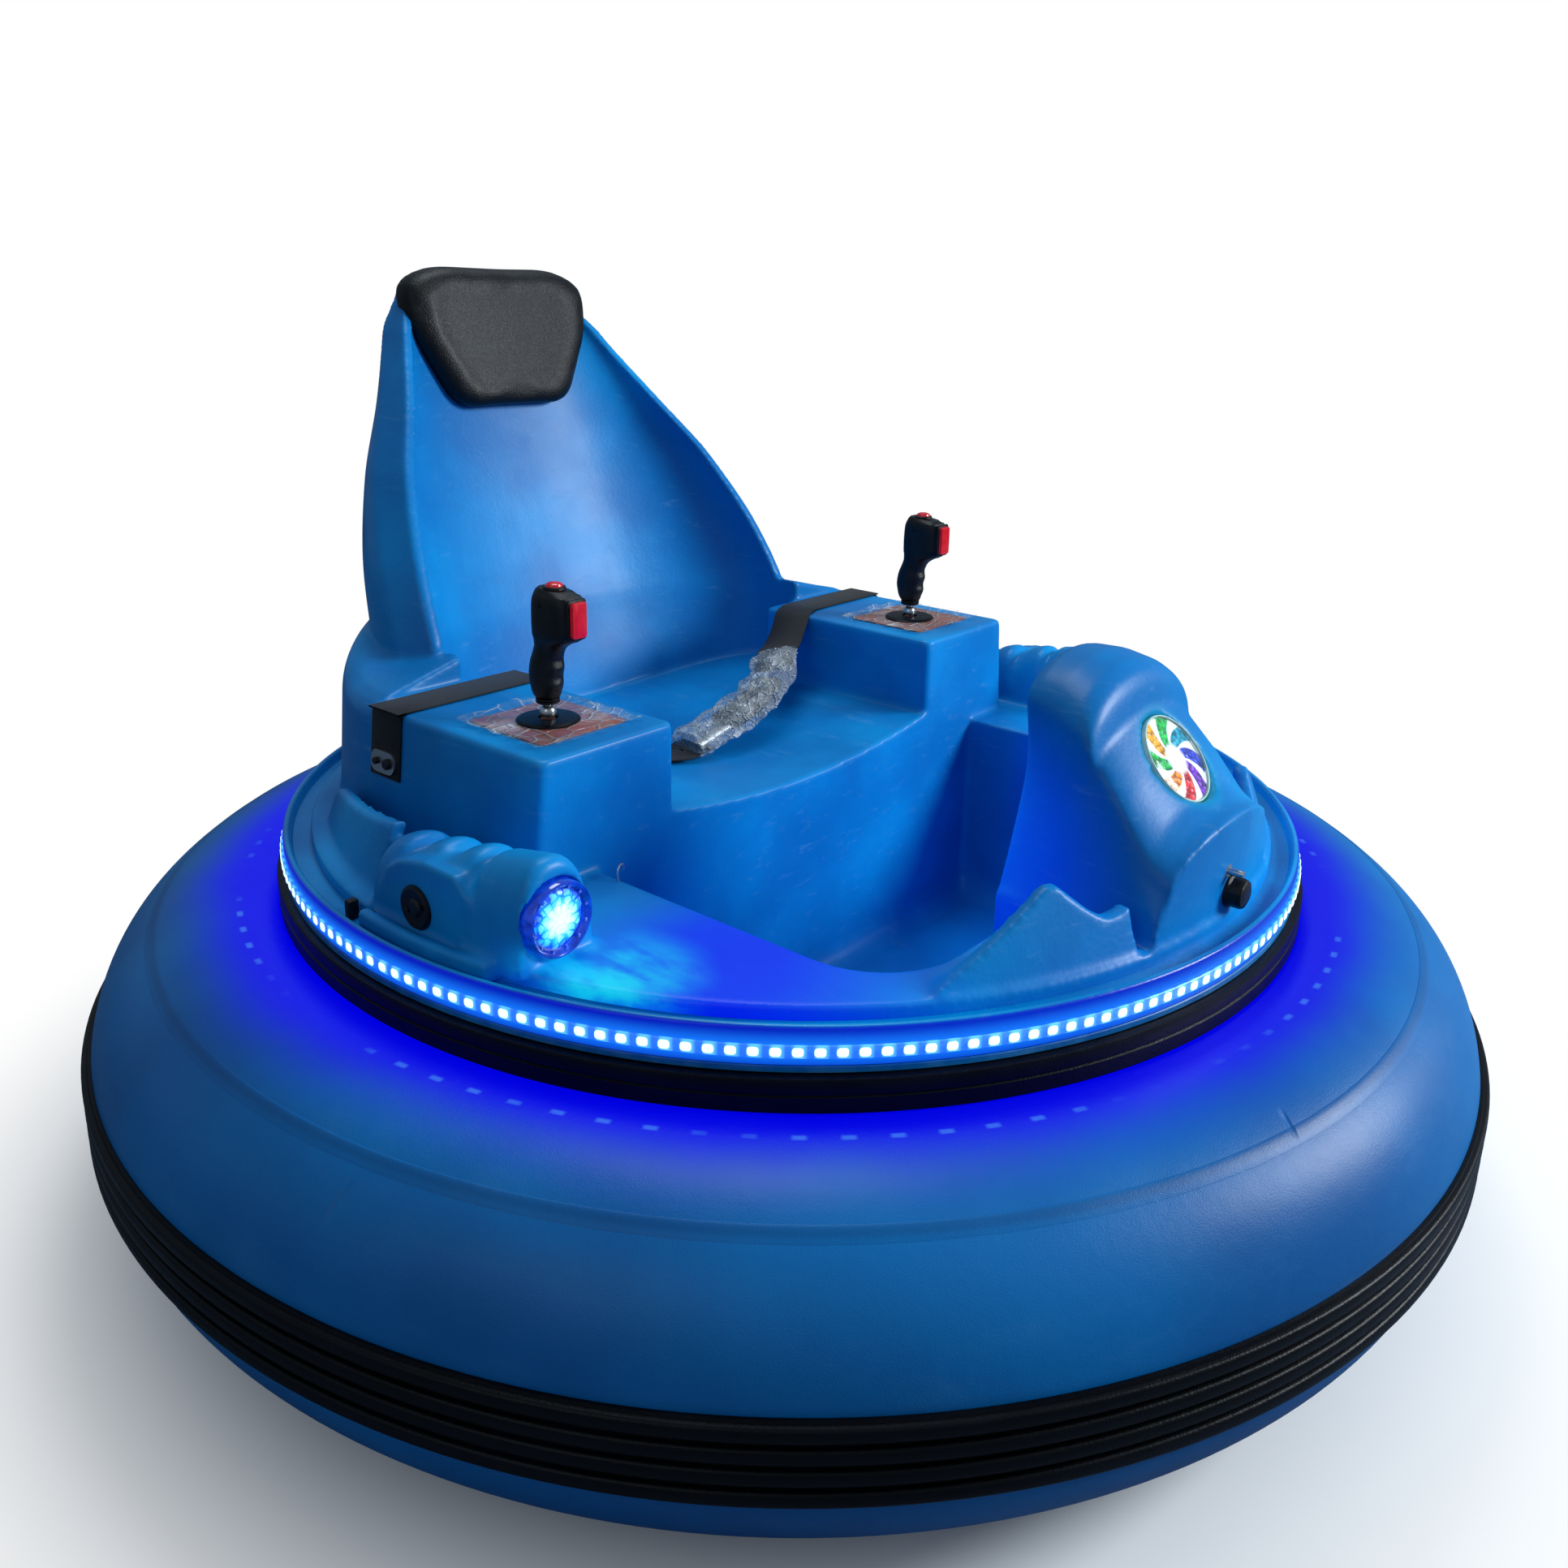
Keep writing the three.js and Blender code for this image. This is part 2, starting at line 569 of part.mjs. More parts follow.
function buildConsole() {
  const ring = (z, inset) =>
    roundedRectangle(
      -consoleOutAt(z) + inset,
      -SEAT_HALF - inset,
      FOOT_REAR_Y + inset,
      CONSOLE_REAR_Y - inset,
      CONSOLE_ROUND
    ).map(([x, y]) => [x, y, z]);
  return loft([ring(DECK_Z + GAP, 0), ring(CONSOLE_Z - 6, 0), ring(CONSOLE_Z - 2, 2), ring(CONSOLE_Z, 6)]);
}

function buildHeadrest() {
  const high = HEADREST_HIGH_Z - HEADREST_LOW_Z;
  const outline = [
    [-HEADREST_LOW_HALF, 12], [-HEADREST_LOW_HALF + 16, 0], [HEADREST_LOW_HALF - 16, 0],
    [HEADREST_LOW_HALF, 12], [HEADREST_HIGH_HALF, high * 0.62], [HEADREST_HIGH_HALF - 8, high * 0.84],
    [HEADREST_HIGH_HALF - 42, high * 0.98], [0, high],
    [-HEADREST_HIGH_HALF + 42, high * 0.98], [-HEADREST_HIGH_HALF + 8, high * 0.84],
    [-HEADREST_HIGH_HALF, high * 0.62],
  ];
  const ring = (depth, inset) => outline.map(([x, z]) => {
    const middle = high * 0.5;
    const shrink = 1 - inset / HEADREST_HIGH_HALF;
    const up = middle + (z - middle) * shrink;
    return [x * shrink, HEADREST_FRONT_Y + depth + up * HEADREST_LEAN, HEADREST_LOW_Z + up];
  });
  const rings = [[0, 14], [5, 4], [14, 0], [HEADREST_THICK - 8, 0], [HEADREST_THICK, 5]];
  const pad = loft(rings.map(([depth, inset]) => ring(depth, inset)));
  const shell = cut(backStack((z) => backRing(z, GAP), GAP), backStack((z) => scoopRing(z, GAP), WALL));
  return cut(pad, shell);
}

// ---------------------------------------------------------------- cowl, pods and fins
// One ring round the cowl: up the right side from foot to hood edge, over the ridge and down.
function cowlRing(key) {
  const foot = DECK_Z + GAP;
  const side = new THREE.SplineCurve([
    new THREE.Vector2(key.foot, foot),
    new THREE.Vector2(key.waist + 0.45 * (key.foot - key.waist), foot + 0.45 * (key.waistZ - foot)),
    new THREE.Vector2(key.waist, key.waistZ),
    new THREE.Vector2(key.edge, key.edgeZ),
  ]).getPoints(9);
  const crown = roundArc(key.edge, key.ridge - key.edgeZ, key.crown, 0, 1, 7).slice(1);
  const half = [...side.map((p) => [p.x, p.y]), ...crown.map(([x, z]) => [x, key.edgeZ + z])];
  const other = half.slice(0, -1).reverse().map(([x, z]) => [-x, z]);
  return [...half, ...other].map(([x, z]) => [x, key.y, z]);
}

// A point on the lamp's axis, so far in front of its lens.
function lampAxis(ahead) {
  const tilt = THREE.MathUtils.degToRad(LAMP_TILT);
  return [0, LAMP_Y - ahead * Math.cos(tilt), LAMP_Z + ahead * Math.sin(tilt)];
}

// A disc that faces the front, turned up by a tilt.
function facingDisc(radius, thick, middle, tilt = 0, steps = 32) {
  const disc = new THREE.CylinderGeometry(radius, radius, thick, steps);
  return disc.rotateX(THREE.MathUtils.degToRad(-tilt)).translate(...middle);
}

function buildCowl() {
  const pocket = 80;
  const middle = lampAxis(pocket / 2 - LAMP_DEEP - GAP);
  const within = rod("z", COWL_FRONT_R, 2 * COWL_KEYS[1].ridge, [0, 0, DECK_Z], 2 * RING_STEPS);
  const body = overlap(loft(COWL_KEYS.map(cowlRing)), within);
  return cut(body, facingDisc(LAMP_R + GAP, pocket, middle, LAMP_TILT));
}

function buildLamp() {
  return facingDisc(LAMP_R, LAMP_DEEP, lampAxis(-LAMP_DEEP / 2), LAMP_TILT);
}

// The pod, with round ribs across its sloping top and a foot that stands in the gutter.
function buildPod() {
  const ring = (y, half, top) =>
    roundArc(half, top - DECK_Z - GAP, 2.4, 0, 2, 14).map(([x, z]) => [x - POD_X, y, z + DECK_Z + GAP]);
  const shoulder = POD_FRONT_Y + 62;
  const rings = [
    ring(POD_FRONT_Y, POD_HALF - 5, POD_TOP_Z - 8),
    ring(POD_FRONT_Y + 8, POD_HALF, POD_TOP_Z),
    ring(shoulder, POD_HALF, POD_TOP_Z - 10),
  ];
  const pitch = (POD_REAR_Y - 6 - shoulder) / POD_RIBS;
  for (let k = 0; k < POD_RIBS; k++) {
    const top = POD_TOP_Z - 12 - ((POD_TOP_Z - 12 - POD_TAIL_Z) * k) / POD_RIBS;
    const from = shoulder + 6 + k * pitch;
    rings.push(ring(from, POD_HALF - 1, top - 2 * POD_RIB_RISE));
    rings.push(ring(from + 0.25 * pitch, POD_HALF, top));
    rings.push(ring(from + 0.6 * pitch, POD_HALF, top - POD_RIB_RISE));
  }
  rings.push(ring(POD_REAR_Y, POD_HALF - 12, POD_TAIL_Z - 8));
  const foot = overlap(
    box([-POD_X - POD_HALF, POD_FRONT_Y + 26, GUTTER_Z + GAP], [-POD_X, POD_REAR_Y - 20, DECK_Z + 2]),
    turned([
      [GUTTER_IN_R + 5, GUTTER_Z], [GUTTER_OUT_R - 5, GUTTER_Z],
      [GUTTER_OUT_R - 5, DECK_Z + WALL], [GUTTER_IN_R + 5, DECK_Z + WALL],
    ])
  );
  const middle = [-POD_X, POD_FRONT_Y, HEADLIGHT_Z];
  return cut(join(loft(rings), foot), facingDisc(HEADLIGHT_R + GAP, 2 * HEADLIGHT_DEEP, middle));
}

function buildHeadlight() {
  const proud = 8;
  const middle = POD_FRONT_Y + (HEADLIGHT_DEEP - proud) / 2 - GAP;
  return facingDisc(HEADLIGHT_R, HEADLIGHT_DEEP + proud, [-POD_X, middle, HEADLIGHT_Z]);
}

// A fin along the rim: heights at shares of the way from one bearing to the other.
function buildFin(radius, base, fromDegrees, toDegrees, heights) {
  const rings = heights.map(([share, height]) => {
    const bearing = THREE.MathUtils.degToRad(fromDegrees + (toDegrees - fromDegrees) * share);
    const point = (inset, z) => {
      const r = radius - inset;
      return [-r * Math.cos(bearing), -r * Math.sin(bearing), z];
    };
    const foot = DECK_Z + GAP;
    const lean = FIN_LEAN * height;
    return [
      point(0, foot), point(base, foot),
      point(lean + FIN_TOP, foot + height), point(lean, foot + height),
    ];
  });
  return loft(rings);
}

// ---------------------------------------------------------------- running gear
function buildPlate() {
  const radius = HULL_R - WALL - GAP;
  const disc = rod("z", radius, PLATE_THICK, [0, 0, PLATE_LOW_Z + PLATE_THICK / 2], RING_STEPS);
  const room = 12;
  const half = WHEEL_WIDTH / 2 + room;
  const openings = [-1, 1].map((side) =>
    box(
      [side * WHEEL_X - half, AXLE_Y - WHEEL_R - room, PLATE_LOW_Z - WALL],
      [side * WHEEL_X + half, AXLE_Y + WHEEL_R + room, PLATE_LOW_Z + 2 * WALL]
    )
  );
  return cut(disc, ...openings);
}

function buildTyre() {
  const half = WHEEL_WIDTH / 2;
  const hub = WHEEL_R - TYRE_THICK;
  const profile = [
    [hub, -half], [WHEEL_R - 7, -half], [WHEEL_R - 2, -half + 4], [WHEEL_R, -half + 10],
    [WHEEL_R, half - 10], [WHEEL_R - 2, half - 4], [WHEEL_R - 7, half], [hub, half],
  ];
  return turned(profile, 40).rotateY(Math.PI / 2).translate(-WHEEL_X, AXLE_Y, WHEEL_R);
}

function buildHub() {
  const half = WHEEL_WIDTH / 2;
  const rim = WHEEL_R - TYRE_THICK - GAP;
  const dish = 14;
  const profile = [
    [AXLE_R + GAP, -half + dish], [rim - 8, -half + dish], [rim - 8, -half + 2], [rim, -half + 2],
    [rim, half - 2], [rim - 8, half - 2], [rim - 8, half - dish], [AXLE_R + GAP, half - dish],
  ];
  return turned(profile, 32).rotateY(Math.PI / 2).translate(-WHEEL_X, AXLE_Y, WHEEL_R);
}

function buildAxle() {
  const inner = -(MOTOR_IN_X + MOTOR_LONG) - GAP;
  const outer = -WHEEL_X - WHEEL_WIDTH / 2 + 10;
  const length = inner - outer;
  return rod("x", AXLE_R, length, [(inner + outer) / 2, AXLE_Y, WHEEL_R], 20);
}

function buildMotor() {
  const middle = -(MOTOR_IN_X + MOTOR_LONG / 2);
  const can = rod("x", MOTOR_R, MOTOR_LONG, [middle, AXLE_Y, WHEEL_R], 28);
  const saddle = box(
    [middle - 45, AXLE_Y - MOTOR_R - 12, WHEEL_R + 18],
    [middle + 45, AXLE_Y + MOTOR_R + 12, PLATE_LOW_Z - GAP]
  );
  return join(can, saddle);
}

function buildCasterFork(y) {
  const axleY = y + CASTER_TRAIL;
  const top = PLATE_LOW_Z - GAP;
  const gap = 3;
  const half = CASTER_WIDTH / 2 + gap + CASTER_FORK;
  const bridgeLow = 2 * CASTER_R + RUNNING_GAP;
  const swivel = rod("z", 30, top - bridgeLow - 8, [0, y, (top + bridgeLow + 8) / 2], 24);
  const bridge = box([-half, y - 24, bridgeLow], [half, axleY + 14, bridgeLow + 9]);
  const cheek = (side) => {
    const outline = [
      [y - 24, bridgeLow + 4], [axleY - 11, CASTER_R - 8],
      [axleY + 11, CASTER_R - 8], [axleY + 14, bridgeLow + 4],
    ];
    const low = side < 0 ? -half : half - CASTER_FORK;
    return acrossX(outline, low, low + CASTER_FORK);
  };
  const pin = rod("x", 5, 2 * half + 6, [0, axleY, CASTER_R], 16);
  return join(swivel, bridge, cheek(-1), cheek(1), pin);
}

function buildCasterWheel(y) {
  const half = CASTER_WIDTH / 2;
  const profile = [
    [5 + GAP, -half], [CASTER_R - 5, -half], [CASTER_R, -half + 6],
    [CASTER_R, half - 6], [CASTER_R - 5, half], [5 + GAP, half],
  ];
  return turned(profile, 32).rotateY(Math.PI / 2).translate(0, y + CASTER_TRAIL, CASTER_R);
}

// ---------------------------------------------------------------- controls
const PANEL_TOP_Z = CONSOLE_Z + GAP + PANEL_THICK;
const BALL_Z = PANEL_TOP_Z + GAP + STICK_BALL_R;

function buildPanel() {
  const half = PANEL_SIZE / 2;
  const ring = roundedRectangle(-STICK_X - half, -STICK_X + half, STICK_Y - half, STICK_Y + half, 5);
  return upright(ring, CONSOLE_Z + GAP, PANEL_TOP_Z);
}

function buildDustWasher() {
  const low = PANEL_TOP_Z + GAP;
  const ring = turned([
    [STICK_BALL_R + 1.5, low], [DUST_R, low],
    [DUST_R - 2, low + DUST_THICK], [STICK_BALL_R + 1.5, low + DUST_THICK],
  ], 32);
  return ring.translate(-STICK_X, STICK_Y, 0);
}

// The ball and steel shaft under the grip.
function buildShaft() {
  const ball = new THREE.SphereGeometry(STICK_BALL_R, 16, 8).translate(-STICK_X, STICK_Y, BALL_Z);
  const low = BALL_Z + 3;
  const high = BALL_Z + STICK_GRIP_LOW - GAP;
  return join(ball, rod("z", 5, high - low, [-STICK_X, STICK_Y, (low + high) / 2], 16));
}

function gripRing(share, halfX, halfY, forward) {
  const z = BALL_Z + STICK_GRIP_LOW + STICK_GRIP_LONG * share;
  return roundArc(halfX, halfY, 2.3, 0, 4, 16).slice(0, -1).map(([x, y]) => [
    -STICK_X + x,
    STICK_Y - forward + y,
    z,
  ]);
}

function buildGrip() {
  const headTo = 0.9;
  return loft([
    gripRing(0, 11, 11, 0), gripRing(0.06, 14, 15, 0), gripRing(0.3, 15, 17, 0), gripRing(0.47, 14, 16, 3),
    gripRing(STICK_HEAD_FROM - 0.03, 15, HEAD_HALF - 3, HEAD_FORWARD - 3),
    gripRing(STICK_HEAD_FROM, 17, HEAD_HALF, HEAD_FORWARD),
    gripRing(headTo, 16, HEAD_HALF, HEAD_FORWARD),
    gripRing(1, 12, HEAD_HALF - 7, HEAD_FORWARD),
  ]);
}

function buildTopButton() {
  const low = BALL_Z + STICK_GRIP_LOW + STICK_GRIP_LONG + GAP;
  return rod("z", 9, 6, [-STICK_X, STICK_Y - HEAD_FORWARD + 4, low + 3], 24);
}

function buildTrigger() {
  const head = BALL_Z + STICK_GRIP_LOW + STICK_GRIP_LONG * STICK_HEAD_FROM;
  const back = STICK_Y - HEAD_FORWARD - HEAD_HALF - GAP;
  return box([-STICK_X - 9, back - TRIGGER_THICK, head], [-STICK_X + 9, back, head + 34]);
}

// ---------------------------------------------------------------- belt
const BELT_Y = CONSOLE_REAR_Y - BELT_EDGE - BELT_WIDTH / 2;
const BELT_LIFT = BELT_THICK / 2 + 2 * GAP; // from what it lies on to the strap's middle

// Rings round a path, each spread along the level line square to it and along that line's normal.
function pathRings(path, section) {
  const points = path.map((p) => new THREE.Vector3(...p));
  return points.map((point, i) => {
    const next = points[Math.min(i + 1, points.length - 1)];
    const along = next.clone().sub(points[Math.max(i - 1, 0)]).normalize();
    const side = new THREE.Vector3(0, 1, 0).addScaledVector(along, -along.y).normalize();
    const up = along.clone().cross(side);
    const spread = ([a, b]) => point.clone().addScaledVector(side, a).addScaledVector(up, b).toArray();
    return section(i).map(spread);
  });
}

function buildStrap(path) {
  const [a, b] = [BELT_WIDTH / 2, BELT_THICK / 2];
  return loft(pathRings(path, () => [[a, -b], [a, b], [-a, b], [-a, -b]]));
}

function seatTopAt(x) {
  return SEAT_MID_Z + (SEAT_EDGE_Z - SEAT_MID_Z) * (x / SEAT_HALF) ** 2;
}

// The strap on the rider's right, up the console's outer side and over its top.
function beltOverConsole() {
  const turnR = 8;
  const overZ = CONSOLE_Z + BELT_LIFT;
  const out = (z) => -consoleOutAt(z) - BELT_LIFT;
  const insideX = -SEAT_HALF + BELT_LIFT;
  const corner = (x, from, to) =>
    roundArc(turnR, turnR, 2, from, to, 4).map(([dx, dz]) => [x + dx, BELT_Y, overZ - turnR + dz]);
  const low = CONSOLE_Z - 66;
  const outer = corner(out(overZ - turnR) + turnR, 2, 1);
  return [[out(low), BELT_Y, low], ...outer, ...corner(insideX - turnR, 1, 0)];
}

// The buckle's path through the film sleeve, from its end on the seat up towards the left console.
const SLEEVE_PATH = [
  [-58, 110, seatTopAt(-58) + 9], [-48, 109, seatTopAt(-48) + 11], [0, 107, seatTopAt(0) + 25],
  [52, 108, seatTopAt(52) + 36], [92, 116, seatTopAt(92) + 50], [124, 135, seatTopAt(124) + 63],
  [133, 142, seatTopAt(133) + 66],
];

// The last two points of a strap that meets an end of the sleeve square on.
function intoSleeve(end, inner) {
  const [tip, deeper] = [new THREE.Vector3(...end), new THREE.Vector3(...inner)];
  const out = tip.clone().sub(deeper).normalize();
  return [12, 2 * GAP].map((off) => tip.clone().addScaledVector(out, off).toArray());
}

// Down the console's inner side and across the seat to the sleeve.
function rightStrapPath() {
  const inside = -SEAT_HALF + BELT_LIFT;
  const onSeat = (x, y) => [x, y, seatTopAt(x) + 2 * BELT_LIFT];
  return [
    ...beltOverConsole(),
    [inside + 1, BELT_Y, seatTopAt(inside) + 30],
    [inside + 8, BELT_Y, seatTopAt(inside) + 12],
    onSeat(inside + 24, BELT_Y - 6),
    onSeat(inside + 60, BELT_Y - 26),
    onSeat(inside + 100, BELT_Y - 56),
    ...intoSleeve(SLEEVE_PATH[0], SLEEVE_PATH[1]),
  ];
}

// From the console's inner edge straight down to the raised end of the sleeve.
function leftStrapPath() {
  const over = beltOverConsole().slice(0, -3).map(([x, y, z]) => [-x, y, z]);
  const [inner, end] = SLEEVE_PATH.slice(-2);
  const from = over[over.length - 1];
  const between = (share, sag) => {
    const [x, y, z] = from.map((value, i) => value + (end[i] - value) * share);
    return [x, y, z - sag];
  };
  return [...over, between(0.3, 3), between(0.6, 3), ...intoSleeve(end, inner)];
}

function buildBeltAnchor() {
  const [low, high] = [CONSOLE_Z - 60, CONSOLE_Z - 22];
  const off = BELT_THICK + 3 * GAP;
  const thick = 3;
  const face = (z, more) => [-consoleOutAt(z) - off - more, z];
  const plate = acrossY([face(low, 0), face(high, 0), face(high, thick), face(low, thick)], -20, 20);
  return plate.translate(0, BELT_Y, 0);
}

function buildSleeve() {
  const fat = [0.5, 0.8, 1, 1, 1, 0.8, 0.5];
  const section = (i) => {
    const wide = SLEEVE_WIDE * (0.6 + 0.4 * fat[i]);
    return roundArc(wide / 2, (SLEEVE_THICK / 2) * fat[i], 2.2, 0, 4, 12).slice(0, -1);
  };
  return loft(pathRings(SLEEVE_PATH, section));
}

// ---------------------------------------------------------------- the assembly
add("inflatable_tube", buildTube(), PVC);
add("rubbing_strip", buildStrip(), RUBBER);
add("lower_hull", buildHull(), BLUE);
add("edge_trim", buildTrim(), RUBBER);
add("deck", buildDeck(), BLUE);
add(
  "light_strip",
  turned([
    [RIM_R + GAP, LED_Z - LED_WIDTH / 2], [RIM_R + GAP + LED_THICK, LED_Z - LED_WIDTH / 2],
    [RIM_R + GAP + LED_THICK, LED_Z + LED_WIDTH / 2], [RIM_R + GAP, LED_Z + LED_WIDTH / 2],
  ]),
  LENS
);
add("footwell_tub", buildFootwell(), BLUE);
add("seat_pan", buildSeatPan(), BLUE);
add("seat_surround", buildSurround(), BLUE);
add("backrest", buildBackrest(), BLUE);
add("headrest_pad", buildHeadrest(), LEATHERETTE);
addPair("console", buildConsole(), BLUE);
add("front_cowl", buildCowl(), BLUE);
add("front_lamp", buildLamp(), LENS);
addPair("side_pod", buildPod(), BLUE);
addPair("headlight", buildHeadlight(), LENS);
const frontFin = [[0, 2], [0.3, 36], [0.56, 66], [0.62, 67], [0.78, 42], [0.86, 34], [1, 38]];
addPair("front_fin", buildFin(FRONT_FIN_R, FRONT_FIN_BASE, 52.3, 74.6, frontFin), BLUE);
const rearFin = [[0, 28], [0.05, 35], [0.28, 43], [0.68, 52], [1, 60]];
addPair("rear_fin", buildFin(REAR_FIN_R, REAR_FIN_BASE, -32.2, -9.2, rearFin), BLUE);
add("chassis_plate", buildPlate(), DARK_STEEL);
add("battery_box", box(
  [-BATTERY.x / 2, BATTERY.midY - BATTERY.y / 2, PLATE_LOW_Z + PLATE_THICK + GAP],
  [BATTERY.x / 2, BATTERY.midY + BATTERY.y / 2, PLATE_LOW_Z + PLATE_THICK + GAP + BATTERY.z]
), BLACK);
addPair("drive_motor", buildMotor(), DARK_STEEL);
addPair("drive_axle", buildAxle(), STEEL);
addPair("drive_tyre", buildTyre(), RUBBER);
addPair("drive_hub", buildHub(), STEEL);
["front", "rear"].forEach((place, i) => {
  add(`caster_fork_${place}`, buildCasterFork(CASTER_Y[i]), STEEL);
  add(`caster_wheel_${place}`, buildCasterWheel(CASTER_Y[i]), RUBBER);
});
addPair("control_panel", buildPanel(), TERRACOTTA);
addPair("dust_washer", buildDustWasher(), RUBBER);
addPair("stick_shaft", buildShaft(), STEEL);
addPair("stick_grip", buildGrip(), BLACK);
addPair("stick_button", buildTopButton(), RED);
addPair("stick_trigger", buildTrigger(), RED);
add("lap_belt_right", buildStrap(rightStrapPath()), WEBBING);
add("lap_belt_left", buildStrap(leftStrapPath()), WEBBING);
addPair("belt_anchor", buildBeltAnchor(), STEEL);
add("buckle_sleeve", buildSleeve(), FILM);

export default car;
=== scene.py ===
# %% [markdown]
# # A ring-shaped fairground bumper car
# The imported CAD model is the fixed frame: it says where each part sits, how large it is and what
# moves. This file gives every visible surface its fine shape and its finish, one piece at a time.
# Lengths are in millimetres inside the shape helpers, as on a workshop drawing, and each piece is
# turned into metres once, when its mesh is made. The car faces -Y and +Z is up.

# %% Load the frame
import json
import math

import bmesh
import bpy
import numpy as np
from mathutils import Matrix, Vector, noise

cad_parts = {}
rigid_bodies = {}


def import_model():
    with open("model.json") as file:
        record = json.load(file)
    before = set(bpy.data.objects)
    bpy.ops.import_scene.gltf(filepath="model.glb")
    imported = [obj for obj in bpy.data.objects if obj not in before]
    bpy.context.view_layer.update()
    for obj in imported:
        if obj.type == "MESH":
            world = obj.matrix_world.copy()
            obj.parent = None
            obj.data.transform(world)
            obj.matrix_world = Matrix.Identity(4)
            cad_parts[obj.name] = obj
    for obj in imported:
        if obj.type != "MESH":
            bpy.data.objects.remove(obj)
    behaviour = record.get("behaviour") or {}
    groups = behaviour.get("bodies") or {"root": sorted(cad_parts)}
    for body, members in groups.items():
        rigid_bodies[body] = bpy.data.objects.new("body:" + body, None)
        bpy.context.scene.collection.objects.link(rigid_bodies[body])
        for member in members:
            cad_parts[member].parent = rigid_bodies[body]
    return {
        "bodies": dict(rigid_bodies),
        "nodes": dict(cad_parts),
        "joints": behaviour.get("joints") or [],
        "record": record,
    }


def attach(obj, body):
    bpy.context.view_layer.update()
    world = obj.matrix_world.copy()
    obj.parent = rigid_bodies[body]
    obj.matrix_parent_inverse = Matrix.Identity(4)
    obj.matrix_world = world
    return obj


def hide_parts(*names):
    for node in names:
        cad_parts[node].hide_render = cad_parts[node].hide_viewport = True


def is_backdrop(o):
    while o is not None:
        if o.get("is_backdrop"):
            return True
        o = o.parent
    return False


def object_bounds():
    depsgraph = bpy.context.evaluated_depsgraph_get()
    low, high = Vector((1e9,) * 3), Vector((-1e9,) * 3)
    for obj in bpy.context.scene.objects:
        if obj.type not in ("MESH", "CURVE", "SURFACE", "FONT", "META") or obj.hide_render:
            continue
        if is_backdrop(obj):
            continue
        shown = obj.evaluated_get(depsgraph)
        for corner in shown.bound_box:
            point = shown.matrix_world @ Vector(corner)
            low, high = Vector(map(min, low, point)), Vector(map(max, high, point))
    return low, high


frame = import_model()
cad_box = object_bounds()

MM = 0.001
SIDES = (("right", -1), ("left", 1))
scene = bpy.context.scene

# %% [markdown]
# ## Camera, floor and light
# The camera stands about waist high, a metre and a half from the car's middle towards its front right,
# and looks down at the seat. A pale floor carries the car's shadow close by. Further out the floor
# turns into plain white for the camera alone, so the backdrop throws no light on the car. One large
# soft lamp gives the form, one overhead lights the tops, and a weak one opens the shadows.

# %% Camera
CAMERA_PLACE = (-1.1084, -0.9095, 0.9143)
CAMERA_AIM = (0.0, 0.0, 0.4827)
CAMERA_ROLL = math.radians(1.32)

camera_data = bpy.data.cameras.new("camera")
camera_data.sensor_width = 36
camera_data.lens = 31.16
camera_data.shift_x, camera_data.shift_y = -0.0065, -0.0542
camera_data.dof.use_dof = False
camera = bpy.data.objects.new("camera", camera_data)
scene.collection.objects.link(camera)
towards = (Vector(CAMERA_AIM) - Vector(CAMERA_PLACE)).to_track_quat("-Z", "Y").to_matrix().to_4x4()
camera.matrix_world = Matrix.Translation(CAMERA_PLACE) @ towards @ Matrix.Rotation(CAMERA_ROLL, 4, "Z")
scene.camera = camera
scene.view_settings.view_transform = "Standard"
print("camera at", tuple(round(v, 3) for v in camera.location))


# %% [markdown]
# ## Writing shaders as arithmetic
# A node tree is easier to read as an expression. A Wire is the output of a node. The usual operators
# on it add Math nodes, so 1 - mask works as it does on paper. A Finish is one material: it owns the
# tree, adds any other node by its type, and feeds the sockets of its main shader.

# %% Wire
class Wire:
    """The output of a shader node, on which plain arithmetic works."""

    def __init__(self, finish, socket):
        self.finish, self.socket = finish, socket

    def _math(self, operation, *values):
        return self.finish.node("ShaderNodeMath", {"operation": operation}, dict(enumerate(values)))

    def __add__(self, other):
        return self._math("ADD", self, other)

    def __sub__(self, other):
        return self._math("SUBTRACT", self, other)

    def __rsub__(self, other):
        return self._math("SUBTRACT", other, self)

    def __mul__(self, other):
        return self._math("MULTIPLY", self, other)

    def __truediv__(self, other):
        return self._math("DIVIDE", self, other)

    def __rtruediv__(self, other):
        return self._math("DIVIDE", other, self)

    def __pow__(self, other):
        return self._math("POWER", self, other)

    __radd__ = __add__
    __rmul__ = __mul__

    def called(self, operation, *values):
        """Any other one-line function, such as COSINE or MAXIMUM."""
        return self._math(operation, self, *values)

    def ramp(self, low, high):
        """0 below low, 1 above high, and a smooth step between them."""
        settings = {"interpolation_type": "SMOOTHSTEP"}
        return self.finish.node("ShaderNodeMapRange", settings, {0: self, 1: low, 2: high, 3: 0.0, 4: 1.0})


# %% Finish
def paint(red, green, blue):
    """A display colour, each channel from 0 to 255, as the linear values that shaders use."""
    channels = [channel / 255 for channel in (red, green, blue)]
    return tuple(c / 12.92 if c <= 0.04045 else ((c + 0.055) / 1.055) ** 2.4 for c in channels)


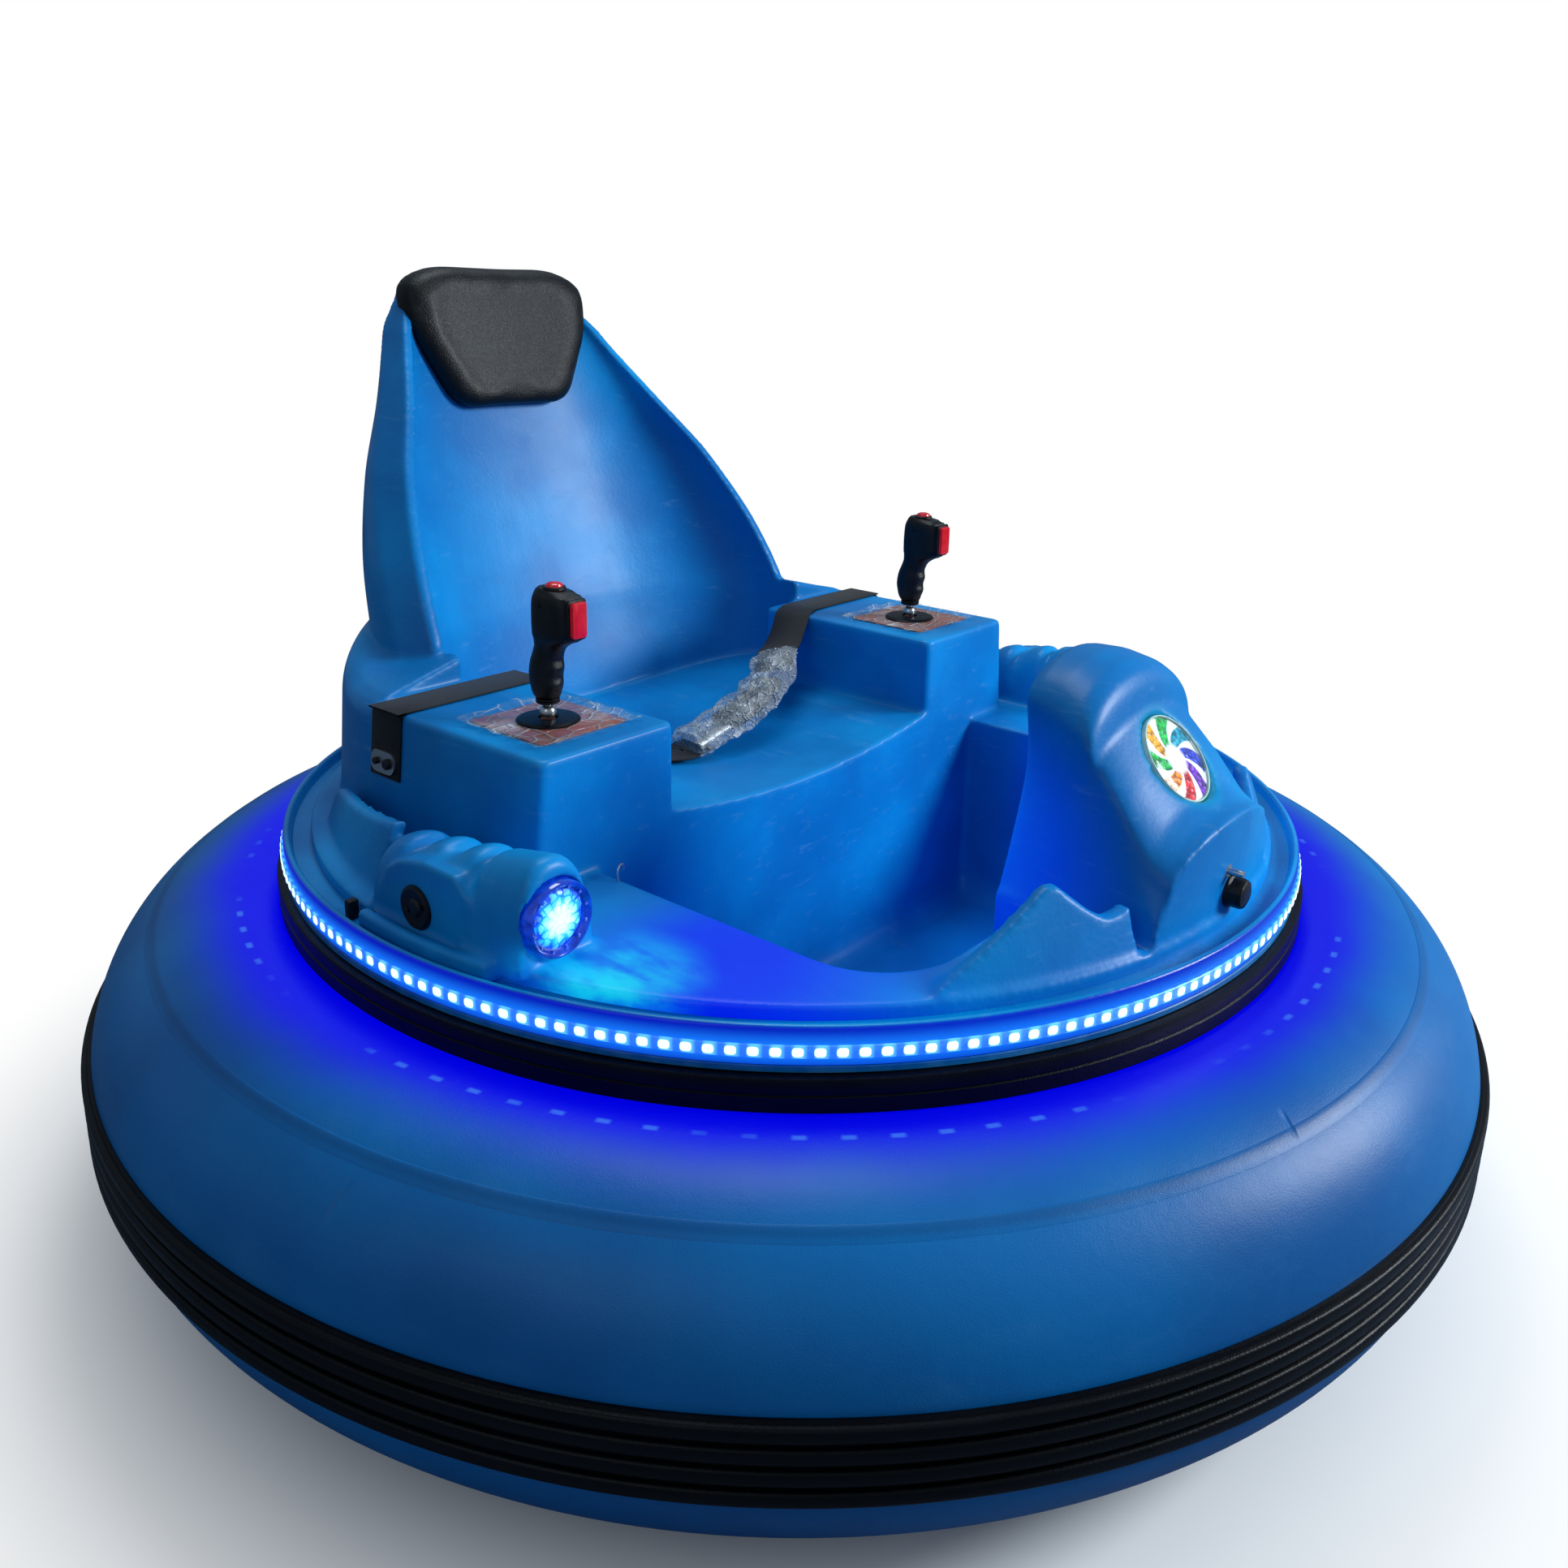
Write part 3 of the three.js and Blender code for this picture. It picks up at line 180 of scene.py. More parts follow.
class Finish:
    """One material: a Principled shader and the nodes that feed it."""

    def __init__(self, name, fixed=None):
        self.material = bpy.data.materials.new(name)
        self.material.use_nodes = True
        self.tree = self.material.node_tree
        self.tree.nodes.clear()
        self.shader = self.tree.nodes.new("ShaderNodeBsdfPrincipled")
        self.output = self.tree.nodes.new("ShaderNodeOutputMaterial")
        self.tree.links.new(self.shader.outputs[0], self.output.inputs[0])
        for socket, value in (fixed or {}).items():
            self.shader.inputs[socket].default_value = value

    def node(self, kind, settings=None, sockets=None, out=0):
        made = self.tree.nodes.new(kind)
        for key, value in (settings or {}).items():
            if key == "stops":
                self._set_stops(made.color_ramp, value)
            elif key == "stepped":
                made.color_ramp.interpolation = "CONSTANT" if value else "LINEAR"
            else:
                setattr(made, key, value)
        for key, value in (sockets or {}).items():
            if isinstance(value, Wire):
                self.tree.links.new(value.socket, made.inputs[key])
            elif isinstance(value, tuple) and made.inputs[key].type == "RGBA":
                made.inputs[key].default_value = (*value, 1)
            else:
                made.inputs[key].default_value = value
        return Wire(self, made.outputs[out])

    def _set_stops(self, ramp, stops):
        ramp.elements.remove(ramp.elements[1])
        (ramp.elements[0].position, colour), *rest = stops
        ramp.elements[0].color = (*colour, 1)
        for place, colour in rest:
            ramp.elements.new(place).color = (*colour, 1)

    def feed(self, **wires):
        """Links wires to the shader: base_color=..., roughness=..., and so on."""
        for name, wire in wires.items():
            self.tree.links.new(wire.socket, self.shader.inputs[name.replace("_", " ").title()])
        return self

    def place(self):
        return self.node("ShaderNodeTexCoord", out="Object")

    def axes(self, vector=None):
        """X, Y and Z of a place, each as a wire."""
        split = self.node("ShaderNodeSeparateXYZ", None, {0: vector or self.place()})
        return [Wire(self, socket) for socket in split.socket.node.outputs]

    def grain(self, scale, detail=3.0, stretch=(1, 1, 1), roughness=0.5):
        """Soft random values around 0.5, in lumps about one over scale metres wide."""
        spread = self.node("ShaderNodeMapping", None, {0: self.place(), "Scale": stretch})
        sockets = {"Vector": spread, "Scale": scale, "Detail": detail, "Roughness": roughness}
        return self.node("ShaderNodeTexNoise", None, sockets)

    def cells(self, scale, feature="F1", stretch=(1, 1, 1)):
        spread = self.node("ShaderNodeMapping", None, {0: self.place(), "Scale": stretch})
        return self.node("ShaderNodeTexVoronoi", {"feature": feature}, {"Vector": spread, "Scale": scale})

    def mix(self, share, first, second, blend="MIX"):
        """A colour between two, by a share."""
        settings = {"data_type": "RGBA", "blend_type": blend}
        return self.node("ShaderNodeMix", settings, {0: share, 6: first, 7: second}, out=2)

    def bump(self, height, depth):
        """Feeds a height in 0..1 to the normal, depth metres high."""
        bumped = self.node("ShaderNodeBump", None, {"Height": height, "Distance": depth, "Strength": 1.0})
        return self.feed(normal=bumped)


def from_axis(axes):
    """Distance from the Z axis."""
    return (axes[0] * axes[0] + axes[1] * axes[1]) ** 0.5


def angle_round(axes):
    """Angle round the Z axis, from minus pi to pi."""
    return axes[1].called("ARCTAN2", axes[0])


# %% Floor
FLOOR_HALF = 40.0
SHADOW_ZONE = (0.6, 1.02)  # metres from the car's middle over which the lit floor turns to plain white

floor_finish = Finish("studio_floor", {"Roughness": 0.9, "Specular IOR Level": 0.1})
from_middle = from_axis(floor_finish.axes())
speck = floor_finish.grain(14.0, 2.0)
light_path = floor_finish.node("ShaderNodeLightPath").socket.node
seen = Wire(floor_finish, light_path.outputs["Is Camera Ray"])
pale = floor_finish.mix(speck, paint(247, 247, 246), paint(250, 250, 249))
floor_finish.feed(base_color=floor_finish.mix(seen, paint(104, 118, 136), pale))
white = floor_finish.node("ShaderNodeEmission", None, {"Color": (1.0, 1.0, 1.0), "Strength": 1.0})
lit = Wire(floor_finish, floor_finish.shader.outputs[0])
share = from_middle.ramp(*SHADOW_ZONE) * seen
far_white = floor_finish.node("ShaderNodeMixShader", None, {0: share, 1: lit, 2: white})
floor_finish.tree.links.new(far_white.socket, floor_finish.output.inputs[0])

floor_mesh = bpy.data.meshes.new("floor")
corners = [(x * FLOOR_HALF, y * FLOOR_HALF, 0) for x, y in ((-1, -1), (1, -1), (1, 1), (-1, 1))]
floor_mesh.from_pydata(corners, [], [(0, 1, 2, 3)])
floor_mesh.materials.append(floor_finish.material)
floor = bpy.data.objects.new("floor", floor_mesh)
scene.collection.objects.link(floor)
floor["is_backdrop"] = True
print("floor", 2 * FLOOR_HALF, "m across")

# %% World and lamps
AMBIENT = 0.29

world = bpy.data.worlds.new("studio")
scene.world = world
world.use_nodes = True
sky = world.node_tree
background = sky.nodes["Background"]
background.inputs["Color"].default_value = (0.62, 0.8, 1.0, 1)
background.inputs["Strength"].default_value = AMBIENT
plain = sky.nodes.new("ShaderNodeBackground")
plain.inputs["Color"].default_value = (1, 1, 1, 1)
plain.inputs["Strength"].default_value = 1.0
paths = sky.nodes.new("ShaderNodeLightPath")
blend = sky.nodes.new("ShaderNodeMixShader")
sky.links.new(paths.outputs["Is Camera Ray"], blend.inputs[0])
sky.links.new(background.outputs[0], blend.inputs[1])
sky.links.new(plain.outputs[0], blend.inputs[2])
sky.links.new(blend.outputs[0], sky.nodes["World Output"].inputs[0])


def soft_lamp(name, place, aim, size, watts):
    data = bpy.data.lights.new(name, "AREA")
    data.shape, data.size, data.energy = "DISK", size, watts
    data.color = (0.86, 0.94, 1.0)
    lamp = bpy.data.objects.new(name, data)
    scene.collection.objects.link(lamp)
    turn = (Vector(aim) - Vector(place)).to_track_quat("-Z", "Y").to_matrix().to_4x4()
    lamp.matrix_world = Matrix.Translation(place) @ turn
    return lamp


soft_lamp("key", (1.75, -2.6, 1.8), (0, 0, 0.45), 1.15, 116)
soft_lamp("window", (0.5, 0.6, 3.0), (0, 0.1, 0.4), 1.3, 26)
soft_lamp("fill", (-2.6, -0.6, 1.8), (0, 0, 0.4), 1.6, 5)

# %% [markdown]
# ## Shapes as rings of points
# Nearly all of this car is made by spinning a profile or by drawing a skin over rings of points, just
# as the mould maker lofts sections. These helpers work on plain arrays of points in millimetres and
# make one Blender mesh at the end, which keeps each piece's own code short.

# %% Outlines
def arc(half, deep, squareness, start, end, steps):
    """Points of a superellipse arc, its angles in quarter turns; a squareness of 2 is an ellipse."""
    turn = np.linspace(start, end, steps + 1) * math.pi / 2
    bent = [np.sign(v) * np.abs(v) ** (2 / squareness) for v in (np.cos(turn), np.sin(turn))]
    return np.column_stack([half * bent[0], deep * bent[1]])


def on_curve(rows, at, column):
    """A value of a table of rows at a height, on a smooth curve through the rows."""
    keys = [row[0] for row in rows]
    at = min(max(at, keys[0]), keys[-1])
    i = min(max(int(np.searchsorted(keys, at)), 1), len(rows) - 1)
    t = (at - keys[i - 1]) / (keys[i] - keys[i - 1])
    p0, p1, p2, p3 = (rows[min(max(k, 0), len(rows) - 1)][column] for k in (i - 2, i - 1, i, i + 1))
    v1, v2 = (p2 - p0) / 2, (p3 - p1) / 2
    return ((2 * p1 - 2 * p2 + v1 + v2) * t + (-3 * p1 + 3 * p2 - 2 * v1 - v2)) * t * t + v1 * t + p1


def smooth_path(points, steps):
    """A smooth curve through points, so many steps from each to the next."""
    rows = [(k, *point) for k, point in enumerate(points)]
    places = np.linspace(0, len(points) - 1, steps * (len(points) - 1) + 1)
    return np.array([[on_curve(rows, at, c) for c in range(1, len(points[0]) + 1)] for at in places])


def level(outline, z):
    """An outline in (x, y) as points at one height."""
    return np.column_stack([np.asarray(outline, float), np.full(len(outline), z)])


def upright(outline, y):
    """An outline in (x, z) as points at one distance along the car."""
    outline = np.asarray(outline, float)
    return np.column_stack([outline[:, 0], np.full(len(outline), y), outline[:, 1]])


def rounded(low_x, high_x, low_y, high_y, radius, steps=6):
    """A rectangle with round corners."""
    corners = ((high_x, high_y, 1, 1), (low_x, high_y, -1, 1), (low_x, low_y, -1, -1), (high_x, low_y, 1, -1))
    outline = []
    for quarter, (x, y, east, north) in enumerate(corners):
        bend = arc(radius, radius, 2, quarter, quarter + 1, steps)
        outline.append(bend + (x - east * radius, y - north * radius))
    return np.vstack(outline)


# %% Skins
def skin(rings, ends=True):
    """Points and faces over closed rings that match one to one, with a flat face at each end."""
    count = len(rings[0])
    faces = []
    for k in range(len(rings) - 1):
        for i in range(count):
            j = (i + 1) % count
            faces.append((k * count + i, k * count + j, (k + 1) * count + j, (k + 1) * count + i))
    if ends:
        last = (len(rings) - 1) * count
        faces += [tuple(range(count))[::-1], tuple(range(last, last + count))]
    return np.vstack(rings), faces


def spun(profile, steps=192, closed=True):
    """A profile in (radius, height) spun about Z. It closes on itself, or starts and ends on the axis."""
    turn = np.arange(steps) * 2 * math.pi / steps
    profile = np.asarray(profile, float)
    around = np.column_stack([np.cos(turn), np.sin(turn)])
    points = np.array([[(r * c, r * s, z) for r, z in profile] for c, s in around]).reshape(-1, 3)
    count = len(profile)
    faces = []
    for k in range(steps):
        for i in range(count if closed else count - 1):
            j, m = (i + 1) % count, (k + 1) % steps
            faces.append((k * count + i, m * count + i, m * count + j, k * count + j))
    return points, faces


def along(path, section, level_axis=(0, 1, 0)):
    """Rings of a section swept along a path; the section's first axis stays square to the path."""
    path = np.asarray(path, float)
    rings = []
    for i, point in enumerate(path):
        ahead = path[min(i + 1, len(path) - 1)] - path[max(i - 1, 0)]
        ahead /= np.linalg.norm(ahead)
        side = np.array(level_axis, float) - ahead * np.dot(ahead, level_axis)
        side /= np.linalg.norm(side)
        up = np.cross(ahead, side)
        shape = np.asarray(section(i) if callable(section) else section, float)
        rings.append(point + shape[:, :1] * side + shape[:, 1:] * up)
    return rings


def placed(shape, middle, tilt=0.0):
    """A shape made about +Z, turned to face the front and up by a tilt in degrees, at a middle."""
    c, s = math.cos(math.radians(tilt)), math.sin(math.radians(tilt))
    points, faces = shape
    turn = np.array([[1, 0, 0], [0, s, c], [0, -c, s]])
    return points @ turn + np.asarray(middle, float), faces


def merged(*shapes):
    """Several shapes as one."""
    points, faces, start = [], [], 0
    for shape_points, shape_faces in shapes:
        points.append(shape_points)
        faces += [tuple(i + start for i in face) for face in shape_faces]
        start += len(shape_points)
    return np.vstack(points), faces


def turned(shape, bearing):
    """The shape turned about Z by a bearing."""
    points, faces = shape
    c, s = math.cos(bearing), math.sin(bearing)
    return points @ np.array([[c, s, 0], [-s, c, 0], [0, 0, 1]]), faces


def moved(shape, offset):
    """The shape at another place."""
    return shape[0] + offset, shape[1]


def flipped(shape):
    """The mirror image across the car's middle."""
    points, faces = shape
    return points * (-1, 1, 1), [face[::-1] for face in faces]


# %% Meshes
def mesh_object(name, shape):
    """A Blender object in metres from a shape in millimetres, with doubled points merged."""
    points, faces = shape
    mesh = bpy.data.meshes.new(name)
    mesh.from_pydata((np.asarray(points) * MM).tolist(), [], faces)
    tidy = bmesh.new()
    tidy.from_mesh(mesh)
    bmesh.ops.remove_doubles(tidy, verts=tidy.verts, dist=1e-6)
    bmesh.ops.recalc_face_normals(tidy, faces=tidy.faces)
    tidy.to_mesh(mesh)
    tidy.free()
    made = bpy.data.objects.new(name, mesh)
    scene.collection.objects.link(made)
    return made


def apply_modifiers(obj):
    graph = bpy.context.evaluated_depsgraph_get()
    mesh = bpy.data.meshes.new_from_object(obj.evaluated_get(graph))
    obj.modifiers.clear()
    obj.data = mesh
    return obj


def carve(base, operation, *tools):
    """Joins or cuts a scratch object with others, which are then removed."""
    for tool in tools:
        cut = base.modifiers.new("cut", "BOOLEAN")
        cut.operation, cut.object, cut.solver = operation, tool, "EXACT"
        apply_modifiers(base)
        bpy.data.objects.remove(tool)
    return base


def shape_of(obj):
    """A scratch object's shape, in millimetres; the object is removed."""
    points = np.array([v.co for v in obj.data.vertices]) / MM
    faces = [tuple(face.vertices) for face in obj.data.polygons]
    bpy.data.objects.remove(obj)
    return points, faces


def shade(obj, crease=35):
    obj.data.shade_smooth()
    obj.data.set_sharp_from_angle(angle=math.radians(crease))
    return obj


def fit(obj, finish, body="car_body", slot=None, replaces=(), crease=35):
    """Gives a finished mesh its material and its body, and hides the CAD nodes it stands for."""
    obj.data.materials.clear()
    obj.data.materials.append(finish.material)
    shade(obj, crease)
    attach(obj, body)
    if replaces:
        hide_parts(*replaces)
    return obj


def make(name, shape, finish, **where):
    made = fit(mesh_object(name, shape), finish, **where)
    print(f"{name}: {len(made.data.polygons)} faces")
    return made


# %% Small hardware
def bar(axis, radius, length, middle, sides=24, bevel=0.8):
    """A round bar with its end edges broken, along X, Y or Z."""
    profile = [(0, 0), (radius - bevel, 0), (radius, bevel), (radius, length - bevel),
               (radius - bevel, length), (0, length)]
    points, faces = spun(profile, sides, closed=False)
    points = points - (0, 0, length / 2)
    order = {"x": (2, 0, 1), "y": (1, 2, 0), "z": (0, 1, 2)}[axis]
    return points[:, order] + np.asarray(middle, float), faces


def block(low, high, bevel=1.5):
    """A box with round upright edges and broken top and bottom edges."""
    (x0, y0, z0), (x1, y1, z1) = low, high
    outline = lambda inset: rounded(x0 + inset, x1 - inset, y0 + inset, y1 - inset, bevel, 3)
    heights = ((z0, bevel * 0.6), (z0 + bevel * 0.6, 0), (z1 - bevel * 0.6, 0), (z1, bevel * 0.6))
    return skin([level(outline(inset), z) for z, inset in heights])


def bolt_head(across=10, high=5):
    """A hexagon head with a broken upper edge and a washer, standing on z = 0."""
    turn = np.arange(6) * math.pi / 3
    hexagon = np.column_stack([np.cos(turn), np.sin(turn)]) * across / math.sqrt(3)
    head = skin([level(hexagon, 1), level(hexagon, high - 0.8), level(hexagon * 0.88, high)])
    washer = spun([(0, 0), (across * 0.85, 0), (across * 0.85, 1), (0, 1)], 24, closed=False)
    return merged(head, washer)


print("helpers ready")

# %% [markdown]
# ## The blue moulding: its finish
# The body is coloured plastic moulded in one piece, so the colour goes right through. Light and dark
# clouds, a fine orange peel and a few rub marks are what makes it read as plastic. Its convex edges
# are painted paler, partly as wear and partly as a painted highlight, and its hollows darker, as painted
# shade.
# The light strip and the headlights wash the rim and the deck beside them with saturated blue. That
# light belongs to the car, so it is laid on the surface as an emission that fades with distance.

# %% Moulded plastic
DECK_Z, RIM_R, LED_Z = 392, 538, 370
POD_X, POD_OUT_X, POD_FRONT_Y = 462, 504.5, -138
HEADLIGHT_Z, HEADLIGHT_R = 429, 33
LAMP_R, LAMP_Y, LAMP_Z, LAMP_TILT, LAMP_DEEP = 43.5, -446, 521, 39.5, 16
COWL_SIDE = (112, -330, 436)  # where the cowl meets the footwell, lit by the headlights

GLOW_BLUE = paint(0, 10, 250)
POOL_CYAN = paint(20, 225, 255)
BLACK = paint(0, 0, 0)


def distance_to(finish, axes, x, y, z):
    """Metres from a point given in millimetres, with left and right folded together."""
    gaps = (axes[0].called("ABSOLUTE") - x * MM, axes[1] - y * MM, axes[2] - z * MM)
    return (gaps[0] * gaps[0] + gaps[1] * gaps[1] + gaps[2] * gaps[2]) ** 0.5


def moulded(name, dark, light, roughness=(0.34, 0.5)):
    """Blue moulding plastic: paler on its edges, partly wear and partly a painted highlight, and darker in
    its hollows as painted shade; returns the finish and its colour wire.
    """
    fixed = {"Coat Weight": 0.07, "Coat Roughness": 0.2, "Specular IOR Level": 0.2}
    finish = Finish(name, fixed)
    clouds = finish.grain(4.5, 4.0)
    colour = finish.mix(clouds.ramp(0.35, 0.68), dark, light)
    # Painted light: pointiness makes convex edges paler, partly as wear and partly as a painted highlight.
    edge_curvature = Wire(finish, finish.node("ShaderNodeNewGeometry").socket.node.outputs["Pointiness"])
    wear_and_highlight_breaks = finish.grain(60.0, 5.0).ramp(0.3, 0.75)
    colour = finish.mix(edge_curvature.ramp(0.52, 0.62) * wear_and_highlight_breaks * 0.45, colour, paint(96, 178, 214))
    rubs = finish.grain(38.0, 6.0, (1, 0.25, 3.0), 0.7).ramp(0.56, 0.74)
    colour = finish.mix(rubs * 0.16, colour, paint(120, 180, 210))
    # Painted shade: the hollows are painted darker, broken up by noise.
    hollow_shade = (1 - edge_curvature).ramp(0.515, 0.6) * finish.grain(18.0, 3.0)
    colour = finish.mix(hollow_shade * 0.5, colour, paint(0, 24, 52))
    low, high = roughness
    finish.feed(roughness=finish.grain(25.0, 5.0) * (high - low) + rubs * 0.15 + low)
    peel = finish.grain(230.0, 2.0) * 0.5 + finish.grain(45.0, 2.0) * 0.6 + rubs * 0.12
    finish.bump(peel, 0.0004)
    return finish, colour


hull, hull_colour = moulded("hull_plastic", paint(0, 112, 184), paint(0, 146, 216))
hull_axes = hull.axes()
# Painted light: the blue of the light strip and the headlights, the cyan pool in front of each headlight and
# a green glow round the front lamp are laid on the deck, the footwell and the cowl as emission.
pool = distance_to(hull, hull_axes, POD_X - 6, -184, DECK_Z)
spill = distance_to(hull, hull_axes, POD_X - 72, -232, DECK_Z - 30)
ripple = hull.grain(30.0, 4.0, (1, 0.4, 1)).ramp(0.32, 0.62)
deck_top = (1 - hull_axes[2].ramp(0.398, 0.43)) * (1 - hull_axes[1].ramp(-0.2, -0.07))
blue_glow = (1 - spill.ramp(0.06, 0.235)) * deck_top * (1 - hull_axes[0].called("ABSOLUTE").ramp(0.505, 0.52))
cyan_pool_glow = (1 - pool.ramp(0.016, 0.1)) * deck_top * (ripple * 0.8 + 0.2)
footwell_glow = (1 - hull_axes[2].ramp(0.2, 0.5)) * (1 - hull_axes[1].ramp(-0.31, -0.05)) * 0.22
cowl_side = 1 - distance_to(hull, hull_axes, *COWL_SIDE).ramp(0.02, 0.15)
glow = hull.mix(blue_glow * 0.9 + footwell_glow + cowl_side * 0.5, BLACK, GLOW_BLUE)
glow = hull.mix(cyan_pool_glow, glow, POOL_CYAN)
lamp_gap = distance_to(hull, hull_axes, 0, LAMP_Y, LAMP_Z)
glow = hull.mix((1 - lamp_gap.ramp(0.044, 0.06)) * 0.4, glow, paint(0, 150, 110))
# Painted light: under the blue glow the plastic's own colour is painted darker navy.
hull.feed(base_color=hull.mix(blue_glow * 0.8, hull_colour, paint(0, 8, 60)), emission_color=glow)
hull.shader.inputs["Emission Strength"].default_value = 0.78
print("finish:", hull.material.name, len(hull.tree.nodes), "nodes")

# %% [markdown]
# ## The blue moulding: its shape
# On the real car the deck, footwell, seat, consoles, backrest, cowl, light pods and fins are one
# rotational moulding, with a soft radius wherever two surfaces meet. Modelling each of those fillets
# by hand is slow and never quite right. Instead each volume is lofted crisp and closed, the hollows
# are cut, and a voxel remesh melts them into one skin. Relaxing that skin gives every edge the same
# moulded radius. Last, flat areas give up their surplus triangles.

# %% Volumes of the deck and footwell
FOOT_HALF, FOOT_REAR_Y, FOOT_FRONT_Y, FOOT_CORNER = 320, -30, -374, 85
FOOT_FLOOR_Z = 153.5
NOSE_HALF, NOSE_REAR_Y = 108, -330
DECK_EDGE_R = 511


def footwell_outline(out=0.0, steps=12):
    """The footwell seen from above, grown outwards; the cowl's nose stands into its front."""
    half, front, radius = FOOT_HALF + out, FOOT_FRONT_Y - out, FOOT_CORNER + out
    nose, nose_rear = NOSE_HALF - out, NOSE_REAR_Y - out
    left = arc(radius, radius, 2, 3, 4, steps) + (half - radius, front + radius)
    right = (left * (-1, 1))[::-1]
    rear = [(half, FOOT_REAR_Y + out), (-half, FOOT_REAR_Y + out)]
    notch = [(-nose, front), (-nose, nose_rear), (nose, nose_rear), (nose, front)]
    return np.vstack([rear, right, notch, left])


ROUND_FLOOR = ((0, -26), (2, -17), (6, -10), (13, -4), (25, 0), (260, 0))  # height over the floor, inset


def footwell_space():
    rings = [level(footwell_outline(out), FOOT_FLOOR_Z + up) for up, out in ROUND_FLOOR]
    return mesh_object("space", skin(rings))


def deck_volume():
    disc = arc(DECK_EDGE_R, DECK_EDGE_R, 2, 0, 4, 180)[:-1]
    plate = mesh_object("plate", skin([level(disc, DECK_Z - 18), level(disc, DECK_Z)]))
    tub = mesh_object("tub", skin([level(footwell_outline(11), z) for z in (FOOT_FLOOR_Z - 6, DECK_Z - 4)]))
    carve(plate, "DIFFERENCE", footwell_space())
    carve(tub, "DIFFERENCE", footwell_space())
    return [shape_of(plate), shape_of(tub)]


# %% Volumes of the seat
SEAT_HALF, SEAT_MID_Z, SEAT_EDGE_Z = 216, 402, 423
CONSOLE_OUT, CONSOLE_DRAFT, CONSOLE_REAR_Y, CONSOLE_Z = 384, 13, 225, 513
SURROUND_REAR_Y, SURROUND_RISE, SURROUND_RISE_Y = 508, 45, (270, 470)
# z, half width at the wings' front edges and their y, half width of the shell, y of its scoop and rear
BACK_ROWS = (
    (DECK_Z, 284, 236, 304, 372, 497),
    (526, 284, 252, 304, 408, 500),
    (619, 269, 299, 288, 438, 506),
    (708, 237, 357, 249, 464, 512),
    (785, 191, 415, 197, 486, 517),
    (860, 150, 472, 151, 508, 525),
    (915, 118, 513, 117, 524, 533),
)
WING_SETBACK, WING_WALL, BACK_WALL = 42, 13, 5


def scoop_arc(z, steps=50):
    """The inside of the backrest at a height, from the left wing's edge round to the right one's."""
    _, tip, tip_y, _, scoop_y, _ = [on_curve(BACK_ROWS, z, c) if c else z for c in range(6)]
    return arc(tip - WING_WALL, scoop_y - BACK_WALL - tip_y, 2.3, 0, 2, steps) + (0, tip_y)


def back_ring(z):
    """The backrest's curved wall at a height: round the outside, and back along the inside."""
    _, tip, tip_y, half, _, rear_y = [on_curve(BACK_ROWS, z, c) if c else z for c in range(6)]
    middle_y = min(tip_y + WING_SETBACK, rear_y - 8)
    outside = arc(half, rear_y - middle_y, 2.05, 0, 2, 48) + (0, middle_y)
    outside = np.vstack([[(tip, tip_y)], outside, [(-tip, tip_y)]])
    return level(np.vstack([outside, scoop_arc(z)[::-1]]), z)


def back_volume():
    rings = [back_ring(z) for z in np.linspace(BACK_ROWS[0][0] - 8, BACK_ROWS[-1][0], 48)]
    points, faces = skin(rings, ends=False)
    count, last = len(rings[0]), len(points) - len(rings[0])
    for start in (0, last):
        faces += [(start + i, start + i + 1, start + count - 2 - i, start + count - 1 - i)
                  for i in range(count // 2 - 1)]
    return points, faces


def surround_ring(z, inset, lift):
    """The moulding round the backrest's foot, lifted towards the rear by a share of its rise."""
    half, deep = CONSOLE_OUT + CONSOLE_DRAFT - inset, SURROUND_REAR_Y - CONSOLE_REAR_Y - 0.35 * inset
    outline = arc(half, deep, 1.85, 0, 2, 60) + (0, CONSOLE_REAR_Y)
    start, end = SURROUND_RISE_Y
    share = np.clip((outline[:, 1] - start) / (end - start), 0, 1)
    return np.column_stack([outline, z + lift * SURROUND_RISE * share * share * (3 - 2 * share)])


# height, how far in from the foot, share of the rise
SURROUND_ROWS = (
    (DECK_Z - 6, 0, 0), (498, 11.4, 0.8), (505, 14, 0.86), (512, 20, 0.92), (518, 33.4, 1), (524, 59.4, 1),
    (541, 123.4, 1),
)


def surround_volume():
    ring_stack = mesh_object("surround", skin([surround_ring(*row) for row in SURROUND_ROWS]))
    heights = (DECK_Z - 30, *np.linspace(DECK_Z, 640, 12))
    far = [(SEAT_HALF + 68, 100), (-SEAT_HALF - 68, 100)]
    space = [level(np.vstack([scoop_arc(z), [(-p[0], p[1]) for p in far]]), z) for z in heights]
    return shape_of(carve(ring_stack, "DIFFERENCE", mesh_object("space", skin(space))))


def seat_volumes():
    """The dished seat between the consoles, and the wider part behind them."""
    shapes = []
    for half, front, rear in ((SEAT_HALF + 4, FOOT_REAR_Y, 400), (SEAT_HALF + 66, CONSOLE_REAR_Y - 4, 330)):
        x = np.linspace(half, -half, 41)
        top = SEAT_MID_Z + (SEAT_EDGE_Z - SEAT_MID_Z) * (x / SEAT_HALF) ** 2
        outline = np.vstack([np.column_stack([x, top]), [(-half, DECK_Z - 8), (half, DECK_Z - 8)]])
        shapes.append(skin([upright(outline, y) for y in (front, rear)]))
    return shapes


def console_volume(side):
    def ring(z, inset):
        out = CONSOLE_OUT + CONSOLE_DRAFT * (CONSOLE_Z - z) / (CONSOLE_Z - DECK_Z) - inset
        outline = rounded(SEAT_HALF + inset, out, FOOT_REAR_Y + inset, CONSOLE_REAR_Y + 6, 10)
        return level(outline * (side, 1), z)

    return skin([ring(DECK_Z - 6, 0), ring(CONSOLE_Z - 4, 0), ring(CONSOLE_Z - 1, 1), ring(CONSOLE_Z, 3)])


